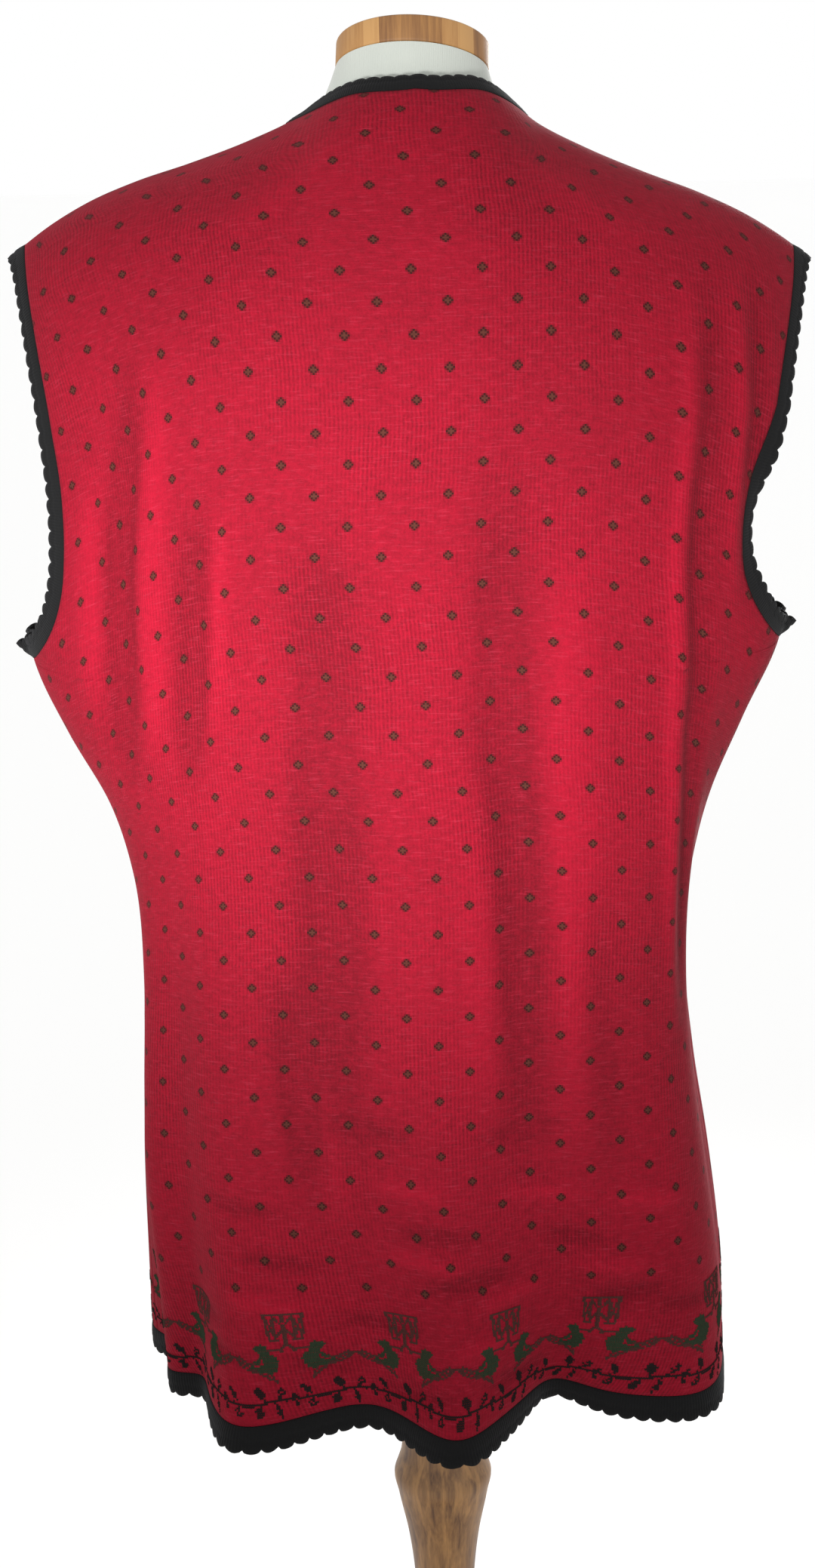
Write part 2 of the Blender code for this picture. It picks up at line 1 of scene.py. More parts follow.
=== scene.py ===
"""A red knitted sleeveless cardigan with black scalloped trims, seen from behind.

It hangs on a limbless dress form with a slanted bamboo neck cap and a turned wooden stand.
Everything is in metres in the frame's own axes: the back faces -Y and +X is on the right.
"""

import math

import bmesh
import bpy
import numpy as np
from mathutils import Matrix, Vector


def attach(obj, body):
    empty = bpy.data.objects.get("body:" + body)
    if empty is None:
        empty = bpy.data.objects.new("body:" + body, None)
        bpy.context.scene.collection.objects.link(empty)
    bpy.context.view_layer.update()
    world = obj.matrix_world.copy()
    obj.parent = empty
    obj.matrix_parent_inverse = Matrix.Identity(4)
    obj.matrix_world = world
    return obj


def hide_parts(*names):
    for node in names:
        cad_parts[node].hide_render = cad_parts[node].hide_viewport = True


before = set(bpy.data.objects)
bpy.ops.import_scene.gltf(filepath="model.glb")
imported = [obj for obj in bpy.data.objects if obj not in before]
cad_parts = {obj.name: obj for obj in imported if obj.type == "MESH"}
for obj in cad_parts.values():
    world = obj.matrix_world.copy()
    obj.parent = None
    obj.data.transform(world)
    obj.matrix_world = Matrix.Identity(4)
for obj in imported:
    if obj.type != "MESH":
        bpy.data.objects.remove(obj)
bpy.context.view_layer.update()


# Studio
# The floor is a pale paper sweep. The camera stands behind the garment, above its middle, and
# looks down on it. A small key lamp is at its left, a soft fill at its right, and a third lamp
# lights the front of the garment.

def linear(code):
    """Linear colour of an sRGB hex value."""
    parts = [int(code[place:place + 2], 16) / 255.0 for place in (1, 3, 5)]
    parts = [part / 12.92 if part <= 0.04045 else ((part + 0.055) / 1.055) ** 2.4 for part in parts]
    return (*parts, 1.0)


def add_node(tree, kind, inputs=None, **settings):
    """Add a node with its settings; each input is a value or another node's output."""
    made = tree.nodes.new(kind)
    for name, value in settings.items():
        setattr(made, name, value)
    for name, value in (inputs or {}).items():
        if isinstance(value, bpy.types.NodeSocket):
            tree.links.new(value, made.inputs[name])
        else:
            made.inputs[name].default_value = value
    return made


def new_material(name):
    """Empty material with its tree and Principled shader."""
    made = bpy.data.materials.new(name)
    made.use_nodes = True
    return made, made.node_tree, made.node_tree.nodes["Principled BSDF"]


def noise_on(tree, vector, scale, detail, roughness=0.5, distortion=0.0):
    """Noise over a vector, at one scale or stretched by a scale for each axis."""
    if isinstance(scale, tuple):
        vector = add_node(tree, "ShaderNodeMapping", {"Vector": vector, "Scale": scale}).outputs["Vector"]
        scale = 1.0
    return add_node(tree, "ShaderNodeTexNoise", {
        "Vector": vector, "Scale": scale, "Detail": detail, "Roughness": roughness,
        "Distortion": distortion,
    }).outputs["Fac"]


def mix_colour(tree, factor, first, second, **settings):
    """Colour between two others, each a hex value or another node's output."""
    first, second = (linear(end) if isinstance(end, str) else end for end in (first, second))
    return add_node(tree, "ShaderNodeMix", {"Factor": factor, "A": first, "B": second},
                    data_type="RGBA", **settings).outputs["Result"]


def dress(tree, shader, colour, values, height=None, strength=0.0, distance=0.0):
    """Give a shader its colour, its plain values and, from a height, its bump."""
    tree.links.new(colour, shader.inputs["Base Color"])
    for name, value in values.items():
        shader.inputs[name].default_value = value
    if height is not None:
        bump = add_node(tree, "ShaderNodeBump", {
            "Height": height, "Strength": strength, "Distance": distance,
        })
        tree.links.new(bump.outputs["Normal"], shader.inputs["Normal"])


def new_piece(name, points, faces, finish):
    """Smooth mesh piece at the origin."""
    mesh = bpy.data.meshes.new(name)
    mesh.from_pydata(np.asarray(points).tolist(), [], faces)
    mesh.shade_smooth()
    mesh.materials.append(finish)
    piece = bpy.data.objects.new(name, mesh)
    bpy.context.scene.collection.objects.link(piece)
    return piece


FLOOR_HALF = 30.0
paper, tree, shader = new_material("matt_paper_sweep")
tone = add_node(tree, "ShaderNodeTexNoise", {"Scale": 3.0, "Detail": 3.0}).outputs["Fac"]
dress(tree, shader, mix_colour(tree, tone, "#FCFCFB", "#FFFFFF"), {"Roughness": 0.9})
floor = new_piece("paper_floor", (
    (-FLOOR_HALF, -FLOOR_HALF, 0.0), (FLOOR_HALF, -FLOOR_HALF, 0.0),
    (FLOOR_HALF, FLOOR_HALF, 0.0), (-FLOOR_HALF, FLOOR_HALF, 0.0),
), [(0, 1, 2, 3)], paper)

world = bpy.data.worlds.new("soft_room")
world.use_nodes = True
world.node_tree.nodes["Background"].inputs["Color"].default_value = linear("#FFFFFF")
world.node_tree.nodes["Background"].inputs["Strength"].default_value = 1.0
bpy.context.scene.world = world
bpy.context.scene.view_settings.view_transform = "Standard"

# Lamps: name, place, aim, width, power, spread in degrees
LAMPS = (
    ("key", (-0.58, -1.87, 0.82), (-0.035, 0.00, 0.82), 0.3, 2.0, 21.5),
    ("fill", (1.60, -1.70, 1.30), (0.00, 0.00, 0.85), 1.0, 1.0, 90.0),
    ("front", (0.60, 2.00, 0.85), (0.00, 0.00, 0.90), 1.0, 11.0, 60.0),
)
for name, place, aim, size, power, spread in LAMPS:
    light = bpy.data.lights.new(name, "AREA")
    light.shape = "RECTANGLE"
    light.size = light.size_y = size
    light.energy = power
    light.spread = math.radians(spread)
    lamp = bpy.data.objects.new(name, light)
    lamp.location = place
    lamp.rotation_euler = (Vector(aim) - Vector(place)).to_track_quat("-Z", "Y").to_euler()
    bpy.context.scene.collection.objects.link(lamp)

IMAGE_HEIGHT = 2078
FOCAL_PIXELS = 3419.0
LOOK_DOWN = math.radians(15.0)
ROLL = math.radians(1.25)
CAMERA_PLACE = (-0.012, -1.360, 1.085)
view = bpy.data.cameras.new("view")
view.sensor_fit = "VERTICAL"
view.sensor_height = 24.0
view.lens = view.sensor_height * FOCAL_PIXELS / IMAGE_HEIGHT
view.clip_start = 0.05
camera = bpy.data.objects.new("view", view)
turned = Matrix.Rotation(math.pi / 2.0 - LOOK_DOWN, 4, "X") @ Matrix.Rotation(-ROLL, 4, "Z")
camera.matrix_world = Matrix.Translation(CAMERA_PLACE) @ turned
bpy.context.scene.collection.objects.link(camera)
bpy.context.scene.camera = camera


# Back panel
# The whole back in fine wool knit, 2 mm thick, hanging from the shoulders in soft folds that
# open towards the hem. It is one sheet on the body's own rings, with its creases laid on.

WALL = 0.0020
SEAM = 0.0003
HEM = 0.397
UNDERARM = 0.800
CHEST = 0.930
CLIMB = 0.130
RIDGE = CHEST + CLIMB
ROUNDNESS = 2.4
BEHIND_CURVE = 0.91
AHEAD_CURVE = 1.25
SHOULDER_JOIN = 0.0005
NECK_POINT = 0.062
NECK_DROP = 0.035
SIDE_COLUMNS = 62
NECK_COLUMNS = 52
TURN_STEP = 0.002
RING_SAMPLES = 921
ROW_SAMPLES = 241

# Rings of the body: height, half width, depth behind, depth in front, sideways shift
RINGS = np.array((
    (0.360, 0.161, 0.102, 0.128, -0.004),
    (0.430, 0.163, 0.100, 0.126, -0.004),
    (0.510, 0.159, 0.097, 0.124, -0.006),
    (0.560, 0.154, 0.096, 0.123, -0.008),
    (0.620, 0.150, 0.096, 0.123, -0.009),
    (0.680, 0.154, 0.098, 0.125, -0.009),
    (0.720, 0.164, 0.100, 0.128, -0.010),
    (0.760, 0.182, 0.103, 0.131, -0.012),
    (0.800, 0.199, 0.106, 0.132, -0.011),
    (0.860, 0.200, 0.110, 0.127, -0.011),
    (0.930, 0.204, 0.113, 0.119, -0.005),
))

# Line over the shoulders: distance from the middle, height
SHOULDER_LINE = np.array((
    (0.000, 1.101), (0.030, 1.095), (0.062, 1.071), (0.085, 1.060), (0.116, 1.048),
    (0.145, 1.038), (0.170, 1.027), (0.190, 1.015), (0.210, 1.000),
))
SHOULDER_TILT = -0.040
UNDERARM_TILT = 0.008
ARM_REACH = 0.060
NAPE_SET_BACK = 0.030

# Armhole: rise, distance from the middle behind, distance in front
ARMHOLE = np.array((
    (0.8000, 0.1988, 0.1988), (0.8035, 0.1955, 0.1950), (0.8110, 0.1895, 0.1870),
    (0.8230, 0.1820, 0.1775), (0.8400, 0.1755, 0.1695), (0.8650, 0.1725, 0.1655),
    (0.8930, 0.1745, 0.1655), (0.9300, 0.1825, 0.1720), (0.9900, 0.1930, 0.1860),
    (1.0600, 0.1985, 0.1985),
))

# Hanging folds: place at the hem, place where it starts (metres round from centre back),
# half width, depth outward at the hem, rise where it starts, share of it well above the hem
FOLDS = (
    (-0.100, -0.110, 0.026, 0.022, 0.80, 0.25),
    (-0.046, -0.040, 0.022, -0.006, 0.75, 0.30),
    (0.002, 0.012, 0.026, 0.026, 0.80, 0.20),
    (0.066, 0.046, 0.025, -0.022, 0.99, 0.25),
    (0.140, 0.136, 0.030, 0.017, 0.99, 0.45),
    (-0.148, -0.135, 0.016, -0.008, 0.72, 0.90),
    (-0.172, -0.165, 0.016, 0.007, 0.72, 0.90),
    (0.205, 0.165, 0.018, -0.006, 0.96, 0.80),
    (-0.196, -0.188, 0.022, -0.013, 0.60, 0.20),
    (0.215, 0.225, 0.026, 0.006, 0.70, 0.40),
    (-0.215, -0.225, 0.026, 0.006, 0.70, 0.40),
    (0.285, 0.280, 0.026, -0.014, 0.74, 0.30),
    (-0.285, -0.280, 0.026, -0.014, 0.74, 0.30),
    (0.345, 0.340, 0.030, 0.020, 0.78, 0.30),
    (-0.345, -0.340, 0.030, 0.020, 0.78, 0.30),
)
HEM_FLARE = 0.045
HEM_DIP = 0.15


def read_table(table, column, place):
    """Read a table smoothly between its rows."""
    keys = table[:, 0]
    values = table[:, column]
    slopes = np.gradient(values, keys)
    place = np.clip(np.asarray(place, dtype=float), keys[0], keys[-1])
    low = np.clip(np.searchsorted(keys, place) - 1, 0, len(keys) - 2)
    span = keys[low + 1] - keys[low]
    part = (place - keys[low]) / span
    start = (1.0 + 2.0 * part) * (1.0 - part) ** 2 * values[low]
    leave = part * (1.0 - part) ** 2 * span * slopes[low]
    end = part ** 2 * (3.0 - 2.0 * part) * values[low + 1]
    reach = part ** 2 * (part - 1.0) * span * slopes[low + 1]
    return start + leave + end + reach


def signed_power(value, power):
    """Power of a value that keeps its sign."""
    return np.sign(value) * np.abs(value) ** power


def ease_in(share):
    """Share eased at both ends."""
    return share * share * (3.0 - 2.0 * share)


def run_along(points):
    """Length along a line of points, from its first to each of them."""
    return np.concatenate(([0.0], np.cumsum(np.linalg.norm(np.diff(points, axis=0), axis=1))))


def body_ring(turn, height):
    """Plain ring of the body: turn is 0 at centre back, a quarter turn at the right side seam."""
    half_width, back, front, shift = (float(read_table(RINGS, k, height)) for k in range(1, 5))
    across = half_width * signed_power(np.sin(turn), 2.0 / ROUNDNESS)
    depth = np.where(np.cos(turn) >= 0.0, back, front)
    ahead = -depth * signed_power(np.cos(turn), 2.0 / ROUNDNESS)
    out_x = signed_power(across / half_width, ROUNDNESS - 1.0) / half_width
    out_y = signed_power(ahead / depth, ROUNDNESS - 1.0) / depth
    size = np.hypot(out_x, out_y)
    return across, ahead, out_x / size, out_y / size, shift


def distance_round(turn, height):
    """Cloth distance round from centre back on the plain ring."""
    samples = np.linspace(-1.15 * math.pi, 1.15 * math.pi, RING_SAMPLES)
    lengths = run_along(np.stack(body_ring(samples, height)[:2], axis=1))
    lengths -= np.interp(0.0, samples, lengths)
    return np.interp(turn, samples, lengths)


def fold_depth(around, rise):
    """How far the hanging folds push the cloth out, and the hem's share of that."""
    total = np.zeros(np.broadcast(around, rise).shape)
    flare = np.exp(-(rise - HEM) / HEM_FLARE)
    for at_hem, at_start, half_width, depth, start, share in FOLDS:
        drop = np.clip((start - rise) / (start - HEM), 0.0, 1.0)
        middle = at_start + (at_hem - at_start) * drop
        strength = share * drop ** 0.8 + (1.0 - share) * flare * np.minimum(drop * 4.0, 1.0)
        total += depth * strength * np.exp(-((around - middle) / half_width) ** 2)
    return total, flare


def shoulder_line(across):
    """Height of the line over the shoulders and its place from back to front."""
    side = np.abs(across)
    inside = np.clip(1.0 - (side / NECK_POINT) ** 2, 0.0, 1.0)
    return read_table(SHOULDER_LINE, 1, side) + SHOULDER_TILT * across, -NAPE_SET_BACK * inside ** 1.3


def cloth_row(turn, rise):
    """Outer face of the cloth along one row of turns."""
    turn = np.asarray(turn, dtype=float)
    rise = np.broadcast_to(np.asarray(rise, dtype=float), turn.shape)
    level = min(float(rise.min()), CHEST)
    across, ahead, out_x, out_y, shift = body_ring(turn, level)
    depth, flare = fold_depth(distance_round(turn, level), rise)
    across = across + out_x * depth
    ahead = ahead + out_y * depth
    height = np.minimum(rise, CHEST) - HEM_DIP * depth * flare
    height = height + UNDERARM_TILT * across * np.exp(-((rise - UNDERARM) / ARM_REACH) ** 2)
    climb = np.clip((rise - CHEST) / CLIMB, 0.0, 1.0) * math.pi / 2.0
    power = np.where(np.cos(turn) >= 0.0, BEHIND_CURVE, AHEAD_CURVE)
    top, middle = shoulder_line(across + shift)
    ahead = np.where(climb > 0.0, middle + (ahead - middle) * np.abs(np.cos(climb)) ** power, ahead)
    height = height + (top - CHEST) * np.sin(climb) ** power
    return np.stack((across + shift, ahead, height), axis=-1)


def turn_behind(across, rise):
    """Turn at which the back of the ring is a distance from the middle."""
    half_width = float(read_table(RINGS, 1, min(rise, CHEST)))
    share = np.clip(abs(across) / half_width, 0.0, 1.0)
    return math.copysign(math.asin(share ** (ROUNDNESS / 2.0)), across)


def even_turns(start, end, rise_at, count):
    """Turns from start to end that split the row into equal stretches of cloth."""
    turns = np.linspace(start, end, ROW_SAMPLES)
    lengths = run_along(cloth_row(turns, rise_at(turns)))
    return np.interp(np.linspace(0.0, lengths[-1], count + 1), lengths, turns)


def seam_step(turn, rise):
    """Change of turn that moves a point half a seam gap round."""
    pair = cloth_row(np.array((turn - TURN_STEP, turn + TURN_STEP)), rise)
    return TURN_STEP * SEAM / np.linalg.norm(pair[1] - pair[0])


# Fine rows shared by all three panels, close together round the turn of the underarm
BODY_ROWS = np.linspace(HEM, UNDERARM, 132)
ARM_ROWS = UNDERARM + (CHEST - UNDERARM) * np.linspace(0.0, 1.0, 47)[1:] ** 1.5
CLIMB_ROWS = np.linspace(CHEST, RIDGE - SHOULDER_JOIN, 45)[1:]
ROWS = np.concatenate((BODY_ROWS, ARM_ROWS, CLIMB_ROWS))
ARM_START = len(BODY_ROWS) - 1


def back_row(rise):
    """Turns and rises of one row of the back."""
    if rise <= UNDERARM:
        edge = math.pi / 2.0 - seam_step(math.pi / 2.0, rise)
    else:
        edge = turn_behind(float(read_table(ARMHOLE, 1, rise)), rise)
    neck = turn_behind(NECK_POINT, rise)

    def rise_at(turns):
        if rise <= CHEST:
            return np.full(turns.shape, rise)
        share = np.clip(np.abs(body_ring(turns, CHEST)[0]) / NECK_POINT, 0.0, 1.0)
        neck_rise = RIDGE - NECK_DROP * (1.0 - share ** 2.6)
        return CHEST + (neck_rise - CHEST) * (rise - CHEST) / CLIMB

    turns = np.concatenate((
        even_turns(-edge, -neck, rise_at, SIDE_COLUMNS)[:-1],
        even_turns(-neck, neck, rise_at, NECK_COLUMNS)[:-1],
        even_turns(neck, edge, rise_at, SIDE_COLUMNS),
    ))
    return turns, rise_at(turns)


# Creases: from and to (metres round from centre back, rise), half width, depth outward
CREASES = (
    (-0.090, 0.890, -0.098, 0.770, 0.006, 0.0016),
    (-0.103, 0.890, -0.112, 0.745, 0.008, -0.0030),
    (-0.127, 0.945, -0.131, 0.765, 0.007, 0.0030),
    (-0.143, 0.945, -0.149, 0.745, 0.008, -0.0042),
    (-0.164, 0.900, -0.168, 0.780, 0.008, 0.0022),
    (0.137, 0.975, 0.141, 0.600, 0.0055, 0.0026),
    (0.149, 0.975, 0.155, 0.600, 0.0070, -0.0034),
    (0.166, 0.985, 0.176, 0.830, 0.0060, 0.0018),
    (0.176, 0.985, 0.187, 0.830, 0.0070, -0.0022),
    (-0.040, 0.880, -0.048, 0.520, 0.017, -0.0030),
    (0.046, 0.900, 0.056, 0.530, 0.015, -0.0032),
    (0.082, 0.880, 0.088, 0.560, 0.014, 0.0022),
    (-0.071, 0.640, -0.062, 0.520, 0.011, -0.0022),
    (-0.052, 0.600, -0.047, 0.500, 0.009, 0.0014),
    (0.034, 0.760, 0.040, 0.560, 0.012, 0.0016),
    (0.093, 0.700, 0.101, 0.520, 0.010, -0.0016),
    (-0.020, 0.502, 0.028, 0.497, 0.0044, -0.0019),
    (-0.028, 0.489, 0.016, 0.481, 0.0044, 0.0018),
    (-0.010, 0.470, 0.045, 0.476, 0.0044, -0.0021),
    (0.020, 0.458, 0.060, 0.466, 0.0044, 0.0019),
    (0.060, 0.494, 0.098, 0.487, 0.0044, -0.0019),
    (0.075, 0.474, 0.120, 0.470, 0.0044, 0.0019),
    (0.085, 0.455, 0.128, 0.458, 0.0044, -0.0019),
    (-0.105, 0.486, -0.060, 0.478, 0.0044, -0.0018),
    (-0.112, 0.462, -0.070, 0.455, 0.0044, 0.0018),
    (-0.060, 0.449, -0.012, 0.446, 0.0044, -0.0018),
    (0.000, 0.436, 0.040, 0.440, 0.0044, 0.0018),
    (-0.030, 0.528, 0.010, 0.522, 0.0050, 0.0015),
    (0.040, 0.520, 0.085, 0.514, 0.0050, 0.0018),
    (-0.150, 0.452, -0.112, 0.446, 0.0044, -0.0015),
    (-0.135, 0.433, -0.092, 0.428, 0.0044, -0.0015),
    (-0.084, 0.427, -0.048, 0.421, 0.0044, -0.0015),
    (-0.040, 0.410, 0.004, 0.414, 0.0044, -0.0013),
    (0.018, 0.418, 0.062, 0.413, 0.0044, -0.0015),
    (0.072, 0.436, 0.116, 0.440, 0.0044, 0.0015),
    (0.118, 0.450, 0.156, 0.444, 0.0044, -0.0015),
    (-0.125, 0.515, -0.078, 0.508, 0.0045, -0.0016),
    (0.098, 0.512, 0.142, 0.504, 0.0045, 0.0016),
    (-0.055, 0.562, -0.005, 0.553, 0.0050, -0.0015),
    (0.026, 0.550, 0.078, 0.556, 0.0050, -0.0015),
    (-0.020, 0.965, 0.060, 0.972, 0.0060, 0.0005),
    (-0.100, 0.990, -0.030, 1.010, 0.0070, 0.0006),
    (0.050, 1.012, 0.120, 0.992, 0.0070, 0.0006),
)
# Creases towards the sides and on the fronts, the same on both hands
SIDE_CREASES = (
    (0.235, 0.640, 0.240, 0.500, 0.012, -0.0030),
    (0.300, 0.780, 0.312, 0.560, 0.014, 0.0028),
    (0.330, 0.900, 0.300, 0.820, 0.012, -0.0018),
    (0.360, 0.700, 0.372, 0.500, 0.012, -0.0020),
)
CREASES += tuple(
    (hand * from_x, from_y, hand * to_x, to_y, half_width, depth)
    for from_x, from_y, to_x, to_y, half_width, depth in SIDE_CREASES
    for hand in (1.0, -1.0)
)


def crease_depth(around, rise):
    """Height of the laid-on creases, fading out towards both ends of each."""
    total = np.zeros(around.shape)
    for from_x, from_y, to_x, to_y, half_width, depth in CREASES:
        run = np.array((to_x - from_x, to_y - from_y))
        length = np.hypot(*run)
        run /= length
        along = (around - from_x) * run[0] + (rise - from_y) * run[1]
        beside = (around - from_x) * run[1] - (rise - from_y) * run[0]
        share = np.clip(along / length, 0.0, 1.0)
        past = along - share * length
        fade = np.sin(np.pi * np.clip(share, 0.02, 0.98)) ** 0.6
        total += depth * fade * np.exp(-(beside ** 2 + past ** 2) / half_width ** 2)
    return total


# The pattern's own cloth measures against the plain surface, by rise: how far the columns of
# the knit lean over, how much cloth the left side's small folds take up, and the courses' droop
KNIT_LEAN = np.array(((0.397, -0.005), (0.480, -0.0058), (0.575, -0.0083), (0.760, -0.009),
                      (0.940, 0.0), (1.060, 0.0)))
LEFT_TAKE_UP = np.array(((0.397, 0.0), (0.600, 0.0), (0.800, 0.034), (0.890, 0.036),
                         (0.920, 0.028), (0.967, 0.0094), (1.000, 0.0), (1.060, 0.0)))
COURSE_DROOP = np.array(((0.397, 0.0), (0.600, 0.8), (0.760, 1.9), (1.060, 1.9)))
# Above the shoulder blades the knitting is shaped: columns closer together, most of all at the
# sides, courses closer and bowed down (height up the cloth, shift, squeeze, side squeeze, lift, bow)
YOKE_SHAPE = np.array(((0.560, 0.0, 0.0, 0.0, 0.0, 0.0), (0.592, 0.0007, 0.035, 0.0, -0.001, 0.1),
                       (0.622, 0.0014, 0.050, 7.0, 0.0, 0.2), (0.634, 0.0020, 0.065, 10.0, 0.0018, 0.5),
                       (0.648, 0.0028, 0.050, 14.0, 0.0042, 0.9), (0.664, 0.0035, 0.055, 17.0, 0.0055, 1.3),
                       (0.676, 0.0045, 0.040, 33.0, 0.0075, 2.0), (0.689, 0.0045, 0.030, 38.0, 0.0100, 2.4),
                       (0.702, 0.0052, 0.050, 30.0, 0.0135, 2.6), (0.760, 0.0052, 0.050, 30.0, 0.0300, 2.6)))
YOKE_REACH = 0.076

# Towards the hem the folds of the back swing to the right, most at the left corner, where the
# cloth turns in (sideways place, swing)
HEM_SWING = np.array(((-0.150, 0.0060), (-0.139, 0.0045), (-0.118, 0.0005), (-0.102, 0.0012),
                      (-0.085, 0.0048), (-0.070, 0.0075), (-0.020, 0.0090), (0.020, 0.0070),
                      (0.060, 0.0030), (0.120, 0.0025), (0.170, 0.0035)))
SWING_FROM = 0.530
SWING_FULL = 0.420
SWING_BEHIND = 0.030
SWING_EASE = 0.050
DROOP_FROM = 0.060
DROOP_TO = 0.200
TAKE_UP_EASE = 0.10
PATH_SAMPLES = 481


def grid_normals(points, hand):
    """Outward unit normals of a grid of points whose columns run round by the right or left."""
    normals = hand * np.cross(np.gradient(points, axis=1), np.gradient(points, axis=0))
    return normals / np.linalg.norm(normals, axis=2, keepdims=True)


def panel_sheet(rows):
    """Points, normals and cloth coordinates of a panel, from its rows of turns and rises."""
    points = np.array([cloth_row(turns, rises) for turns, rises in rows])
    rise = np.array([rises for turns, rises in rows])
    around = np.array([
        distance_round(turns, min(float(rises.min()), CHEST)) for turns, rises in rows
    ])
    down = np.clip((SWING_FROM - points[..., 2]) / (SWING_FROM - SWING_FULL), 0.0, 1.0)
    behind = np.clip((SWING_BEHIND - points[..., 1]) / SWING_EASE, 0.0, 1.0)
    points[..., 0] += ease_in(down) * ease_in(behind) * read_table(HEM_SWING, 1, points[..., 0])
    hand = -1.0 if rows[0][0][-1] < rows[0][0][0] else 1.0
    fold = crease_depth(around, rise)
    points = points + grid_normals(points, hand) * fold[..., None]
    normals = grid_normals(points, hand)

    across = []
    for turns, rises in rows:
        level = float(rises.min())
        low, high = min(turns.min(), 0.0), max(turns.max(), 0.0)
        fine = np.linspace(low, high, PATH_SAMPLES)
        order = np.argsort(turns)
        lengths = run_along(cloth_row(fine, np.interp(fine, turns[order], rises[order])))
        lengths -= np.interp(0.0, fine, lengths)
        arc = np.interp(turns, fine, lengths)
        beyond = np.clip((np.abs(arc) - DROOP_FROM) / TAKE_UP_EASE, 0.0, 1.0)
        take_up = float(read_table(LEFT_TAKE_UP, 1, level)) * beyond ** 2
        across.append(arc + float(read_table(KNIT_LEAN, 1, level)) - np.where(arc < 0.0, take_up, 0.0))
    across = np.array(across)

    up = np.minimum(rise, CHEST) - HEM
    steps = np.linalg.norm(np.diff(points, axis=0), axis=2)
    steps[rise[1:] <= CHEST + 1e-9] = 0.0
    up[1:] += np.cumsum(steps, axis=0)
    beyond = np.clip(np.abs(around), DROOP_FROM, DROOP_TO) - DROOP_FROM
    up += read_table(COURSE_DROOP, 1, rise) * beyond ** 2
    shift, squeeze, side, lift, bow = (read_table(YOKE_SHAPE, column, up) for column in range(1, 6))
    near = np.clip(across, -YOKE_REACH, YOKE_REACH)
    up += lift - bow * near ** 2
    across += shift - squeeze * near - side * near ** 3
    return {"points": points, "normals": normals, "across": across, "up": up, "fold": fold}


def closed_sheet(name, sheet):
    """Thin closed shell between a grid of outer points and the same grid moved inward."""
    outer, normals = sheet["points"], sheet["normals"]
    rows, columns = outer.shape[:2]
    half = rows * columns
    points = np.concatenate((outer.reshape(-1, 3), (outer - normals * WALL).reshape(-1, 3)))
    first = (np.arange(rows - 1)[:, None] * columns + np.arange(columns - 1)).reshape(-1)
    quads = np.stack((first, first + 1, first + columns + 1, first + columns), axis=1)
    rim = np.concatenate((
        np.arange(columns),
        np.arange(1, rows) * columns + columns - 1,
        (rows - 1) * columns + np.arange(columns - 2, -1, -1),
        np.arange(rows - 2, 0, -1) * columns,
    ))
    after = np.roll(rim, -1)
    edge = np.stack((after, rim, half + rim, half + after), axis=1)
    faces = np.concatenate((quads, half + quads[:, ::-1], edge))
    middle = quads[len(quads) // 2]
    face_normal = np.cross(points[middle[1]] - points[middle[0]], points[middle[3]] - points[middle[0]])
    if np.dot(face_normal, normals.reshape(-1, 3)[middle[0]]) < 0.0:
        faces = faces[:, ::-1]
    piece = new_piece(name, points, faces.tolist(), red_wool)
    layer = piece.data.uv_layers.new(name="cloth")
    places = np.stack((sheet["across"].reshape(-1), sheet["up"].reshape(-1)), axis=1)
    places = np.concatenate((places, places))
    corners = np.empty(len(piece.data.loops), dtype=np.int32)
    piece.data.loops.foreach_get("vertex_index", corners)
    layer.data.foreach_set("uv", places[corners].astype(np.float32).reshape(-1))
    # Crease depth kept on the points, read by the wool for its painted shade in the creases
    fold = piece.data.attributes.new("fold", "FLOAT", "POINT")
    fold.data.foreach_set("value", np.tile(sheet["fold"].reshape(-1), 2).astype(np.float32))
    return piece


# Merino knit, plain face of a fine jacquard: a matt wool yarn, so a high roughness and a
# soft sheen from the loose fibres. Wales 2.1 mm apart show as faint upright lines, courses
# 1.3 mm apart hardly at all; raised fibres catch the light in short level streaks.
WALE = 0.0021
COURSE = 0.0013
DIAMOND_ACROSS = 0.0328
DIAMOND_UP = 0.0306
DIAMOND_START = (0.0013, 0.5450)
DIAMOND_CELL = (0.00103, 0.00100)
STITCH_ACROSS = 0.00105
STITCH_UP = 0.00102
DIAMONDS_START = 0.066


def math_node(tree, operation, first, second=0.0, third=0.0):
    """Output of a new math node."""
    return add_node(tree, "ShaderNodeMath", {0: first, 1: second, 2: third},
                    operation=operation).outputs["Value"]


